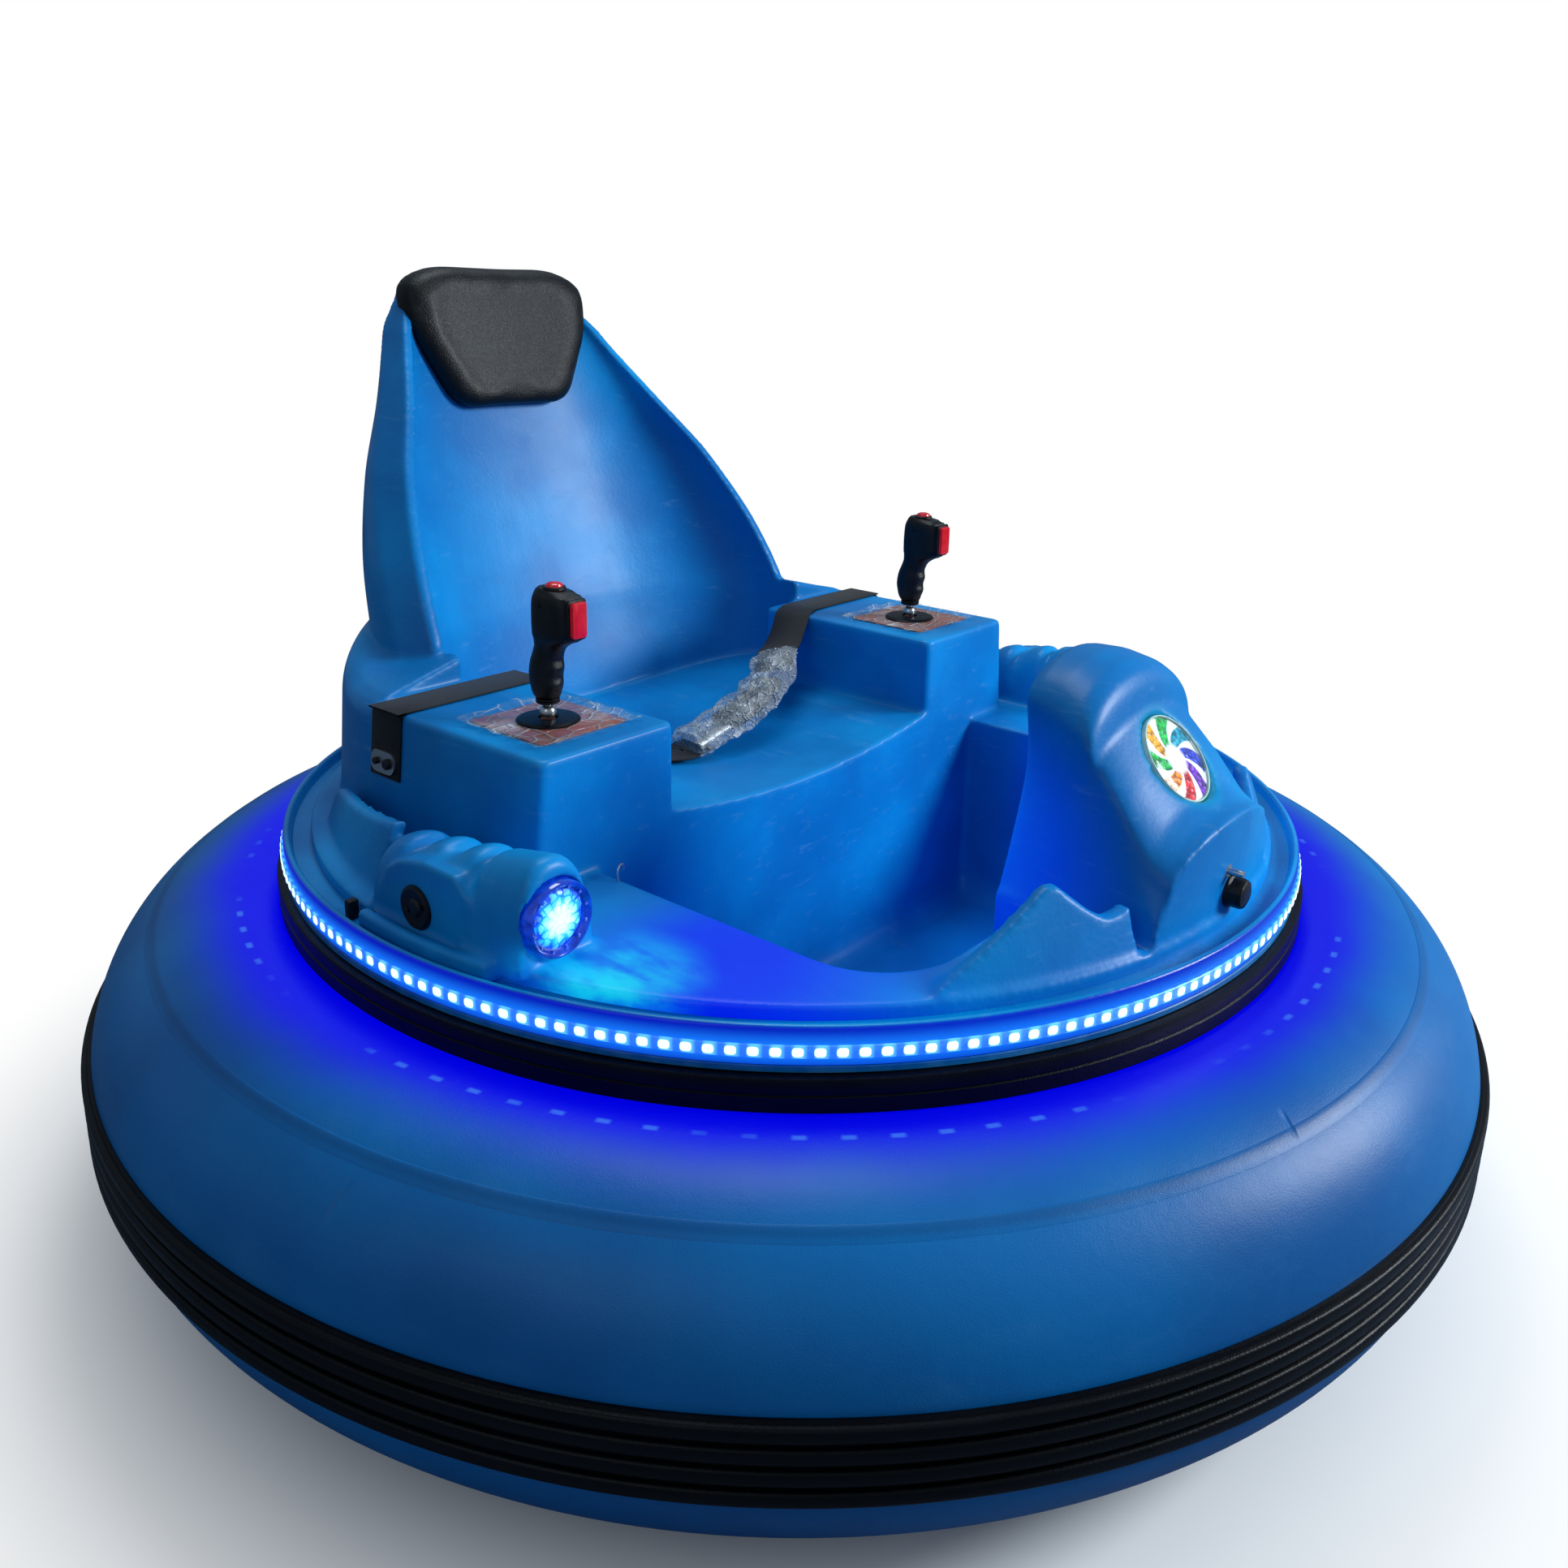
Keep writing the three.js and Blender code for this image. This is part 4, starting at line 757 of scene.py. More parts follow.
# %% Volumes of the cowl
# y, half width of the foot, of the waist and its height, of the hood's edge and its height, ridge, squareness
COWL_ROWS = (
    (-330, 107, 66, 508, 76, 568, 601, 1.9), (-338, 108, 72, 508, 80, 568, 606, 1.9),
    (-366, 110, 85, 505, 88, 562, 607, 1.9), (-390, 112, 94, 502, 96, 555, 601, 1.9),
    (-402, 114, 97, 500, 99, 548, 593, 1.9), (-408, 114, 98, 500, 100, 541, 583, 1.9),
    (-411, 115, 98, 498, 98, 533, 572, 1.9), (-414, 115, 96, 494, 95, 524, 560, 1.9),
    (-446, 118, 105, 460, 102, 488, 524, 2.0), (-474, 121, 112, 428, 105, 450, 494, 2.0),
    (-492, 123, 117, 414, 106, 434, 484, 2.0), (-512, 123, 118, 412, 106, 432, 482, 2.0),
)
COWL_FRONT_R = 507


def lamp_axis(ahead):
    """A point on the lamp's axis, so far in front of its lens."""
    tilt = math.radians(LAMP_TILT)
    return (0, LAMP_Y - ahead * math.cos(tilt), LAMP_Z + ahead * math.sin(tilt))


def cowl_ring(y, foot, waist, waist_z, edge, edge_z, ridge, crown):
    low = DECK_Z - 8
    bend = (waist + 0.45 * (foot - waist), low + 0.45 * (waist_z - low))
    side = smooth_path([(foot, low), bend, (waist, waist_z), (edge, edge_z)], 6)
    top = arc(edge, ridge - edge_z, crown, 0, 1, 14)[1:] + (0, edge_z)
    half = np.vstack([side, top])
    outline = np.vstack([half, (half[:-1] * (-1, 1))[::-1]])
    return upright(outline, y)


def cowl_volume():
    body = mesh_object("cowl", skin([cowl_ring(*row) for row in COWL_ROWS]))
    disc = arc(COWL_FRONT_R, COWL_FRONT_R, 2, 0, 4, 180)[:-1]
    carve(body, "INTERSECT", mesh_object("within", skin([level(disc, 300), level(disc, 700)])))
    pocket = spun([(0, 0), (LAMP_R + 1.5, 0), (LAMP_R + 1.5, 80), (0, 80)], 64, closed=False)
    carve(body, "DIFFERENCE", mesh_object("pocket", placed(pocket, lamp_axis(-LAMP_DEEP - 1), LAMP_TILT)))
    return shape_of(body)


# %% Volumes of the pods and fins
POD_HALF, POD_REAR_Y, POD_TOP_Z, POD_TAIL_Z, POD_RIBS = 42, 70, 480, 446, 3
# y, z
ARCH_PANEL = ((52, 380), (49, 405), (35, 436), (12, 449), (-17, 455), (-62, 455), (-78, 438), (-91, 384))


def pod_volumes(side):
    ring = lambda y, half, top: np.insert(
        arc(half, top - DECK_Z + 6, 2.4, 0, 2, 36) + (side * POD_X, DECK_Z - 6), 1, y, axis=1)
    shoulder = POD_FRONT_Y + 62
    rings = [ring(POD_FRONT_Y, POD_HALF - 5, POD_TOP_Z - 8),
             ring(POD_FRONT_Y + 4, POD_HALF - 1.5, POD_TOP_Z - 2),
             ring(POD_FRONT_Y + 10, POD_HALF, POD_TOP_Z),
             ring(shoulder, POD_HALF, POD_TOP_Z - 10)]
    pitch = (POD_REAR_Y - 6 - shoulder) / POD_RIBS
    for k in range(POD_RIBS):
        top = POD_TOP_Z - 12 - (POD_TOP_Z - 12 - POD_TAIL_Z) * k / POD_RIBS
        start = shoulder + 6 + k * pitch
        rings += [ring(start, POD_HALF - 1, top - 11), ring(start + 0.2 * pitch, POD_HALF, top - 1),
                  ring(start + 0.35 * pitch, POD_HALF, top), ring(start + 0.7 * pitch, POD_HALF, top - 5)]
    rings.append(ring(POD_REAR_Y, POD_HALF - 12, POD_TAIL_Z - 10))
    pod = mesh_object("pod", skin(rings))
    pocket = spun([(0, -20), (HEADLIGHT_R + 1, -20), (HEADLIGHT_R + 1, 40), (0, 40)], 64, closed=False)
    eye = placed(pocket, (side * POD_X, POD_FRONT_Y, HEADLIGHT_Z))
    carve(pod, "DIFFERENCE", mesh_object("pocket", (eye[0] + (0, 8, 0), eye[1])))
    outline = np.array(ARCH_PANEL, float)
    panel = [np.column_stack([np.full(len(outline), side * x), outline]) for x in (POD_X + 6, POD_OUT_X)]
    foot = [level(np.vstack([arc(r, r, 2, 1.94, 2.139, 12)[::turn] for r, turn in ((516, 1), (527, -1))]), z)
            for z in (DECK_Z - 13, DECK_Z + 6)]
    foot_points, foot_faces = skin(foot)
    return [shape_of(pod), skin(panel), (foot_points * (-side, 1, 1), foot_faces)]


# share of the way along, height
FRONT_FIN = ((0, 2), (0.3, 36), (0.56, 66), (0.62, 67), (0.78, 42), (0.86, 34), (1, 38))
REAR_FIN = ((0, 28), (0.05, 35), (0.28, 43), (0.68, 52), (1, 60))
FIN_LEAN = 0.42


def fin_volume(side, radius, base, top, start, end, rows):
    """A fin along the rim, between two bearings in degrees from the car's right towards the front."""
    rings = []
    for share in np.linspace(0, 1, 40):
        height = np.interp(share, *zip(*rows))
        bearing = math.radians(start + (end - start) * share)
        corners = ((0, -6), (base, -6), (FIN_LEAN * height + top, height), (FIN_LEAN * height, height))
        east, north = side * math.cos(bearing), -math.sin(bearing)
        rings.append([((radius - inset) * east, (radius - inset) * north, DECK_Z + up)
                      for inset, up in corners])
    return skin(rings)


def fin_volumes(side):
    return [fin_volume(side, 508, 40, 13, 52.3, 74.6, FRONT_FIN),
            fin_volume(side, 497, 26, 13, -32.2, -9.2, REAR_FIN)]


# %% One skin
VOXEL = 0.0032
TRIANGLES = 185_000

volumes = deck_volume() + seat_volumes() + [back_volume(), surround_volume(), cowl_volume()]
for _, side in SIDES:
    volumes += [console_volume(side)] + pod_volumes(side) + fin_volumes(side)
moulding = mesh_object("moulded_body", merged(*volumes))
print("volumes:", len(volumes), "with", len(moulding.data.polygons), "faces")

remesh = moulding.modifiers.new("melt", "REMESH")
remesh.mode, remesh.voxel_size = "VOXEL", VOXEL
apply_modifiers(moulding)
print("melted into", len(moulding.data.polygons), "quads")


def relax(obj, pulls):
    """Moves each point towards the mean of its neighbours, by each share in turn."""
    mesh = obj.data
    count = len(mesh.vertices)
    place = np.empty(count * 3)
    mesh.vertices.foreach_get("co", place)
    place = place.reshape(-1, 3)
    ends = np.empty(len(mesh.edges) * 2, int)
    mesh.edges.foreach_get("vertices", ends)
    first, second = ends.reshape(-1, 2).T
    near = (np.bincount(first, minlength=count) + np.bincount(second, minlength=count))[:, None]
    for pull in pulls:
        total = np.column_stack([
            np.bincount(first, place[second, k], count) + np.bincount(second, place[first, k], count)
            for k in range(3)
        ])
        place += pull * (total / near - place)
    mesh.vertices.foreach_set("co", place.ravel())
    mesh.update()


relax(moulding, [0.5] * 3 + [0.5, -0.52] * 5)
if len(moulding.data.polygons) * 2 > TRIANGLES:
    thin = moulding.modifiers.new("thin", "DECIMATE")
    thin.ratio = TRIANGLES / (len(moulding.data.polygons) * 2)
    apply_modifiers(moulding)
MOULDED = ["deck", "footwell_tub", "seat_pan", "seat_surround", "backrest", "front_cowl"]
PAIRED = ("console", "side_pod", "front_fin", "rear_fin")
MOULDED += [f"{part}_{side}" for part in PAIRED for side, _ in SIDES]
fit(moulding, hull, slot="hull_blue", replaces=MOULDED, crease=180)
print("moulded_body:", len(moulding.data.polygons), "faces")

# %% [markdown]
# ## The rim and its light strip
# Round the deck runs a drain gutter, and outside it a lip that turns down into an upright skirt. A
# spun profile gives both with crisp edges. The light strip is a soft silicone band stuck to the skirt,
# with a small lamp every seventeen millimetres: one rounded block is repeated round the ring and all
# of them are joined into a single mesh.

# %% Rim
DOT_PITCH = 16.8
BAND_R, BAND_HALF = RIM_R + 0.4, 5.5

rim_finish, rim_colour = moulded("rim_plastic", paint(0, 112, 184), paint(0, 146, 216), (0.2, 0.34))
rim_axes = rim_finish.axes()
rim_radius = from_axis(rim_axes)
# Painted light: the skirt below the lip glows blue as emission, paler close to the light band, and its
# plastic is painted darker navy under that glow.
band_gap = (rim_axes[2] - LED_Z * MM).called("ABSOLUTE")
skirt = rim_radius.ramp(0.5355, 0.5375)
near_band = 1 - band_gap.ramp(0.004, 0.019)
skirt_glow = rim_finish.mix(near_band, paint(0, 0, 190), paint(20, 120, 255))
rim_finish.feed(
    base_color=rim_finish.mix(skirt * 0.85, rim_colour, paint(0, 10, 90)),
    emission_color=rim_finish.mix(skirt, BLACK, skirt_glow),
)
rim_finish.shader.inputs["Emission Strength"].default_value = 0.85
RIM_PROFILE = (
    (503, 385), (507, 380.5), (511, 379.6), (517, 379), (526, 379), (528.6, 379.8), (530, 381.6), (531, 387),
    (531.8, 389), (533.2, 390), (535.4, 390), (537, 389.2), (538, 387.4), (538, 359), (537.4, 357.5),
    (536.2, 357), (533, 357), (532, 358), (532, 374), (503, 374),
)
make("rim_ring", spun(RIM_PROFILE, 256), rim_finish, slot="hull_blue")

# %% Light strip
band_finish = Finish("band_silicone", {"Roughness": 0.25, "Coat Weight": 0.4, "Emission Strength": 1.0})
band_axes = band_finish.axes()
turn_share = angle_round(band_axes) * (RIM_R / DOT_PITCH)
between_dots = (turn_share * math.pi).called("COSINE").called("ABSOLUTE")
band_blue = band_finish.mix(between_dots.ramp(0.3, 1.0), paint(20, 96, 245), paint(90, 190, 255))
band_grain = band_finish.grain(300.0)
band_finish.feed(base_color=band_finish.mix(band_grain, paint(60, 130, 210), paint(120, 190, 240)))
band_finish.feed(emission_color=band_blue)
dot_finish = Finish("dot_light", {"Roughness": 0.3, "Emission Strength": 1.25})
dot_grain = dot_finish.grain(700.0)
dot_finish.feed(base_color=dot_finish.mix(dot_grain, paint(210, 245, 255), paint(235, 252, 255)))
dot_finish.feed(emission_color=dot_finish.mix(dot_grain, paint(196, 250, 255), paint(232, 255, 255)))

band_profile = rounded(BAND_R, BAND_R + 2.1, LED_Z - BAND_HALF, LED_Z + BAND_HALF, 0.8, 3)
make("light_band", spun(band_profile, 256), band_finish, slot="light_strip", replaces=["light_strip"])


def dot(bearing):
    rings = []
    for proud, inset in ((1.6, 0), (2.5, 0), (3.0, 0.8)):
        outline = rounded(-4.4 + inset, 4.4 - inset, -3.7 + inset, 3.7 - inset, 2.6, 4)
        rings.append(np.column_stack([np.full(len(outline), BAND_R + proud), outline + (0, LED_Z)]))
    return turned(skin(rings), bearing)


dots = round(2 * math.pi * RIM_R / DOT_PITCH)
ring_of_dots = merged(*[dot(2 * math.pi * k / dots) for k in range(dots)])
make("light_dots", ring_of_dots, dot_finish, slot="light_strip")

# %% [markdown]
# ## The air tube, its rubbing strip and the hull
# The bumper is a welded ring of heavy coated cloth, pumped hard. Its section is fuller than a circle,
# so the profile is four superellipse arcs. A weld runs round its shoulder as a thin raised bead. The
# cloth has a dull, fine grain and broad soft dents that show only in the sheen. Close under the light
# strip it is flooded with blue, and that glow fades outwards by its distance from the middle.

# %% Tube
HULL_R, TUBE_OUT_R, TUBE_CROWN_R = 472, 727, 585
TUBE_LOW_Z, TUBE_MID_Z, TUBE_HIGH_Z = 52, 178, 326
TUBE_ROUND_TOP, TUBE_ROUND_LOW = 2.2, 2.7
TUBE_FLAT_R = TUBE_OUT_R - 3
SEAM_R = 660
# degrees from the right, radius
CREASES = ((75.5, 655), (12.0, 690), (131.0, 668), (214.0, 640), (300.0, 662))

pvc = Finish("tube_cloth", {"Specular IOR Level": 0.24, "Coat Weight": 0.05, "Coat Roughness": 0.3})
pvc_axes = pvc.axes()
pvc_radius = from_axis(pvc_axes)
upper = pvc_axes[2].ramp(0.2, 0.27)
patchy = pvc.grain(5.0, 3.0) * 0.03
# Painted light: near the light strip the cloth glows blue as emission and its own colour is painted darker
# navy.
flood = (1 - (pvc_radius + patchy - 0.015).ramp(0.572, 0.662)) * upper
cloth = pvc.mix(pvc.grain(2.6, 4.0).ramp(0.32, 0.7), paint(0, 86, 152), paint(0, 112, 182))
wiped = pvc.grain(9.0, 6.0, (1, 1, 2.5), 0.7).ramp(0.5, 0.8)
cloth = pvc.mix(wiped * 0.18, cloth, paint(60, 132, 190))
# The cloth is painted darker in a thin line along the outer side of the weld.
weld_line_dark = 1 - (pvc_radius - (SEAM_R + 2) * MM).called("ABSOLUTE").ramp(0.001, 0.006)
cloth = pvc.mix(weld_line_dark * upper * 0.3, cloth, paint(0, 40, 90))
pvc.feed(base_color=pvc.mix(flood, cloth, paint(0, 4, 60)))
pvc.feed(roughness=pvc.grain(7.0, 5.0) * 0.2 + wiped * 0.06 + 0.3)
# Painted reflection: a dotted ring of paler blue on the cloth stands for the strip's dots mirrored in it.
dot_reflections = (1 - (pvc_radius - 0.583).called("ABSOLUTE").ramp(0.0012, 0.004)) * upper
dot_turn = angle_round(pvc_axes) * (RIM_R / DOT_PITCH / 2)
dot_reflections = dot_reflections * (dot_turn * (2 * math.pi)).called("COSINE").ramp(0.3, 0.9)
dot_reflections = dot_reflections * pvc.grain(4.0, 2.0).ramp(0.45, 0.6)
flood_colour = pvc.mix((pvc_radius + patchy).ramp(0.6, 0.66), paint(0, 0, 240), paint(0, 40, 215))
flood_colour = pvc.mix(dot_reflections * 0.8, flood_colour, paint(60, 120, 255))
pvc.feed(emission_color=pvc.mix(flood, BLACK, flood_colour))
pvc.shader.inputs["Emission Strength"].default_value = 0.85
crease_height = pvc.grain(3.0, 2.0) * 6.0
for degrees, radius in CREASES:
    east, north = -math.cos(math.radians(degrees)), -math.sin(math.radians(degrees))
    out_from = pvc_axes[0] * east + pvc_axes[1] * north - radius * MM
    sideways = pvc_axes[0] * -north + pvc_axes[1] * east + out_from * 0.35
    narrow = 1 - sideways.called("ABSOLUTE").ramp(0.0005, 0.0045)
    short = 1 - out_from.called("ABSOLUTE").ramp(0.002, 0.014)
    crease_height = crease_height - narrow * short * 1.2
pvc.bump(crease_height + pvc.grain(900.0, 2.0) * 0.22 + pvc.grain(70.0, 2.0) * 0.25, 0.0009)


def tube_profile(steps=36):
    outer, inner = TUBE_OUT_R - TUBE_CROWN_R, TUBE_CROWN_R - HULL_R - 0.3
    low, high = TUBE_MID_Z - TUBE_LOW_Z, TUBE_HIGH_Z - TUBE_MID_Z
    quarters = ((outer, high, TUBE_ROUND_TOP), (inner, high, TUBE_ROUND_TOP),
                (inner, low, TUBE_ROUND_LOW), (outer, low, TUBE_ROUND_LOW))
    bends = [arc(*quarter, k, k + 1, steps)[:-1] for k, quarter in enumerate(quarters)]
    profile = np.vstack(bends) + (TUBE_CROWN_R, TUBE_MID_Z)
    profile[:, 0] = np.minimum(profile[:, 0], TUBE_FLAT_R)
    return profile


def tube_top(radius):
    reach = TUBE_OUT_R - TUBE_CROWN_R if radius > TUBE_CROWN_R else TUBE_CROWN_R - HULL_R
    share = abs(radius - TUBE_CROWN_R) / reach
    return TUBE_MID_Z + (TUBE_HIGH_Z - TUBE_MID_Z) * (1 - share**TUBE_ROUND_TOP) ** (1 / TUBE_ROUND_TOP)


make("air_tube", spun(tube_profile(), 240), pvc, slot="tube_pvc", replaces=["inflatable_tube"], crease=180)
bead_rows = ((-3, -0.4), (-2, 0.5), (0, 0.9), (2, 0.5), (9, 0.4), (10, -0.5))  # out from the seam, up
bead = [(SEAM_R + out, tube_top(SEAM_R + out) + up) for out, up in bead_rows]
make("weld_bead", spun(bead, 240), pvc, slot="tube_pvc")

# %% Rubber
rubber = Finish("black_rubber_band", {"Specular IOR Level": 0.16})
bloom = rubber.grain(7.0, 5.0, (1, 1, 4.0), 0.65).ramp(0.45, 0.75)
rubber.feed(base_color=rubber.mix(bloom * 0.5, paint(3, 4, 8), paint(16, 19, 28)))
rubber.feed(roughness=rubber.grain(40.0, 4.0) * 0.18 + 0.3)
rubber.bump(rubber.grain(500.0, 3.0) + rubber.grain(30.0, 2.0), 0.0003)

STRIP_LOW_Z, STRIP_HIGH_Z, STRIP_THICK, STRIP_RIB, STRIP_RIBS = 143, 213, 4, 5, 4


def strip_profile():
    """A flat band with round ribs, open grooves between them."""
    inner = TUBE_FLAT_R + 0.3
    pitch = (STRIP_HIGH_Z - STRIP_LOW_Z) / STRIP_RIBS
    profile = [(inner, STRIP_HIGH_Z), (inner, STRIP_LOW_Z), (inner + STRIP_THICK - 1, STRIP_LOW_Z)]
    for k in range(STRIP_RIBS):
        middle = STRIP_LOW_Z + (k + 0.5) * pitch
        profile += [(inner + STRIP_THICK + x, middle + z) for z, x in
                    arc(0.37 * pitch, STRIP_RIB, 3.2, 2, 0, 10)]
    return profile + [(inner + STRIP_THICK - 1, STRIP_HIGH_Z)]


make("ribbed_strip", spun(strip_profile(), 240), rubber, slot="black_rubber", replaces=["rubbing_strip"])

trim_in, trim_out, trim_top = RIM_R + 8 - 14, RIM_R + 8, 350.4
trim_low = tube_top(trim_out) + 0.4
TRIM_PROFILE = (
    (trim_in, tube_top(trim_in) + 0.4), (trim_out - 2, trim_low), (trim_out, trim_low + 2), (trim_out, 334.6),
    (trim_out - 1.4, 335.6), (trim_out - 1.4, 337), (trim_out, 338), (trim_out, trim_top - 3.5),
    (trim_out - 1, trim_top - 1), (trim_out - 3, trim_top), (trim_in, trim_top),
)
make("rubber_trim", spun(TRIM_PROFILE, 256), rubber, slot="black_rubber", replaces=["edge_trim"])

# %% Hull
HULL_LOW_Z, FLANGE_TOP_Z = 136, 356.7
hull_profile = (
    (466, HULL_LOW_Z), (471, HULL_LOW_Z), (HULL_R, 137), (HULL_R, 348), (475, 350.7), (537, 350.7),
    (RIM_R, 351.5), (RIM_R, 356), (537.3, FLANGE_TOP_Z), (466, FLANGE_TOP_Z),
)
lower, lower_colour = moulded("lower_plastic", paint(0, 84, 150), paint(0, 110, 176))
lower.feed(base_color=lower_colour)
make("hull_wall", spun(hull_profile, 192), lower, slot="hull_blue", replaces=["lower_hull"])

# %% [markdown]
# ## The headrest pad
# The pad is foam under black leatherette, wider at the top and pulled tight. Padded things look right
# only when their cover has been stretched by what is inside, so a slightly small pad is melted into an
# even mesh and blown up with the cloth solver, with gravity off. How far a point may move is capped.
# The cover is moulded round the foam, so the pad shows no seam in front.

# %% Leatherette
leather = Finish("leatherette", {"Specular IOR Level": 0.25, "Coat Weight": 0.08, "Coat Roughness": 0.3})
pores = leather.cells(620.0)
creased = leather.grain(26.0, 5.0, (1, 1, 1.8), 0.6)
rubbed = creased.ramp(0.5, 0.78)
leather.feed(base_color=leather.mix(rubbed, paint(7, 7, 8), paint(22, 22, 22)))
leather.feed(roughness=pores * 0.15 + rubbed * 0.1 + 0.36)
leather.bump(pores * 0.6 + creased * 0.8, 0.0007)

# %% Pad
PAD_LOW_Z, PAD_HIGH_Z, PAD_LOW_HALF, PAD_HIGH_HALF = 768, 934, 90, 140
PAD_THICK, PAD_FRONT_Y, PAD_LEAN = 40, 447.5, 0.21
PAD_SWELL = 0.0025


def pad_outline(steps=8):
    """A trapezium with round corners, tight below and generous above, in (x, height)."""
    high = PAD_HIGH_Z - PAD_LOW_Z
    half = ((PAD_LOW_HALF - 4, 0, 27), (PAD_HIGH_HALF + 4, high * 0.64, 42),
            (PAD_HIGH_HALF - 6, high * 0.88, 18), (PAD_HIGH_HALF - 42, high, 30))
    corners = [*half, *[(-x, z, radius) for x, z, radius in half[::-1]]]
    outline = []
    for k, (x, z, radius) in enumerate(corners):
        here = np.array([x, z], float)
        before, after = (np.array(corners[(k + turn) % len(corners)][:2], float) for turn in (-1, 1))
        start = here + (before - here) / np.linalg.norm(before - here) * radius
        end = here + (after - here) / np.linalg.norm(after - here) * radius
        for t in np.linspace(0, 1, steps):
            outline.append((1 - t) ** 2 * start + 2 * t * (1 - t) * here + t * t * end)
    return np.array(outline)


def pad_ring(depth, shrink):
    outline = pad_outline()
    middle = np.array([0, (PAD_HIGH_Z - PAD_LOW_Z) / 2])
    outline = middle + (outline - middle) * (1 - shrink)
    across, up = outline.T
    return np.column_stack([across, PAD_FRONT_Y + depth + up * PAD_LEAN, PAD_LOW_Z + up])


def inflate(obj, pressure, cap):
    """Blows a closed mesh up as cloth; no point moves further than cap, in metres."""
    rest = np.array([v.co for v in obj.data.vertices])
    cloth = obj.modifiers.new("cover", "CLOTH")
    cloth.settings.use_pressure = True
    cloth.settings.uniform_pressure_force = pressure
    cloth.settings.effector_weights.gravity = 0
    cloth.settings.tension_stiffness = cloth.settings.compression_stiffness = 12
    for frame in range(1, 21):
        scene.frame_set(frame)
    apply_modifiers(obj)
    scene.frame_set(1)
    swell = np.array([v.co for v in obj.data.vertices]) - rest
    length = np.maximum(np.linalg.norm(swell, axis=1, keepdims=True), 1e-9)
    obj.data.vertices.foreach_set("co", (rest + swell * np.minimum(1, cap / length)).ravel())
    print(f"{obj.name}: swelled by up to {min(float(length.max()), cap) * 1000:.1f} mm")


# depth behind the front, share by which the outline shrinks
PAD_DEPTHS = ((0, 0.3), (-1.5, 0.16), (1, 0.07), (7, 0.015), (16, 0), (30, 0),
              (PAD_THICK - 3, 0.02), (PAD_THICK, 0.06))
pad = mesh_object("leatherette_pad", skin([pad_ring(*row) for row in PAD_DEPTHS]))
pad_melt = pad.modifiers.new("melt", "REMESH")
pad_melt.mode, pad_melt.voxel_size = "VOXEL", 0.005
apply_modifiers(pad)
relax(pad, [0.5] * 3)
inflate(pad, 4.0, PAD_SWELL)
relax(pad, [0.4] * 2)
pad.modifiers.new("smooth", "SUBSURF").levels = 1
pad.modifiers["smooth"].render_levels = 1
apply_modifiers(pad)
fit(pad, leather, slot="leatherette", replaces=["headrest_pad"], crease=180)
print("pad:", len(pad.data.polygons), "faces")

# %% [markdown]
# ## The two control sticks
# Each console carries a terracotta panel under clear protective film, a rubber dust washer and a
# joystick: a steel shaft, a moulded grip that leans forward at its head, a red thumb button and a red
# trigger. The grip is lofted on a smooth curve through a short table of sections. Everything above
# the ball rides on the stick's own body, so that it tilts.

# %% Finishes of the controls
black = Finish("black_plastic", {"Specular IOR Level": 0.35})
black_rub = black.grain(60.0, 5.0).ramp(0.5, 0.8)
black.feed(base_color=black.mix(black_rub, paint(5, 6, 8), paint(20, 21, 24)))
black.feed(roughness=black.grain(90.0, 3.0) * 0.18 + 0.24)
black.bump(black.cells(1400.0) + black.grain(120.0), 0.0002)

red = Finish("red_plastic", {"Specular IOR Level": 0.5, "Coat Weight": 0.5, "Coat Roughness": 0.08})
red_cloud = red.grain(160.0, 3.0)
red.feed(base_color=red.mix(red_cloud, paint(178, 6, 22), paint(222, 22, 38)))
red.feed(roughness=red_cloud * 0.15 + 0.16)
# Painted light: the red plastic glows faintly in its own red, as emission, though it is no lamp.
red.feed(emission_color=red.mix(red_cloud, paint(150, 0, 12), paint(190, 6, 20)))
red.shader.inputs["Emission Strength"].default_value = 0.25
red.bump(red.grain(240.0), 0.0001)

steel = Finish("bright_steel", {"Specular IOR Level": 0.5})
steel_marks = steel.grain(90.0, 5.0, (1, 1, 0.1))
steel.feed(base_color=steel.mix(steel_marks, paint(176, 180, 184), paint(214, 216, 218)))
steel.feed(metallic=steel_marks * 0.1 + 0.9, roughness=steel_marks * 0.2 + 0.14)
steel.bump(steel_marks, 0.00008)

frame_steel = Finish("painted_frame", {"Specular IOR Level": 0.5})
rust = frame_steel.grain(30.0, 6.0, (1, 1, 1), 0.7).ramp(0.6, 0.72)
frame_steel.feed(base_color=frame_steel.mix(rust, paint(44, 47, 52), paint(92, 58, 38)))
frame_steel.feed(metallic=(1 - rust) * 0.55, roughness=rust * 0.3 + frame_steel.grain(80.0) * 0.2 + 0.34)
frame_steel.bump(frame_steel.grain(260.0, 4.0) + rust, 0.0003)

alloy = Finish("hub_alloy", {"Specular IOR Level": 0.5})
cast = alloy.grain(210.0, 4.0)
alloy.feed(base_color=alloy.mix(cast, paint(128, 132, 138), paint(168, 171, 176)))
alloy.feed(metallic=cast * 0.1 + 0.85, roughness=cast * 0.25 + 0.3)
alloy.bump(cast, 0.0003)

satin_coat = {"Specular IOR Level": 0.5, "Coat Weight": 0.3, "Coat Roughness": 0.2}
terracotta = Finish("panel_terracotta", satin_coat)
panel_speck = terracotta.grain(420.0, 4.0)
panel_dust = terracotta.grain(34.0, 5.0, (1, 1, 1), 0.7).ramp(0.5, 0.8)
panel_tone = terracotta.mix(panel_speck, paint(128, 52, 30), paint(164, 78, 48))
terracotta.feed(base_color=terracotta.mix(panel_dust * 0.5, panel_tone, paint(190, 130, 104)))
terracotta.feed(roughness=panel_dust * 0.3 + 0.28)
terracotta.bump(panel_speck, 0.0001)


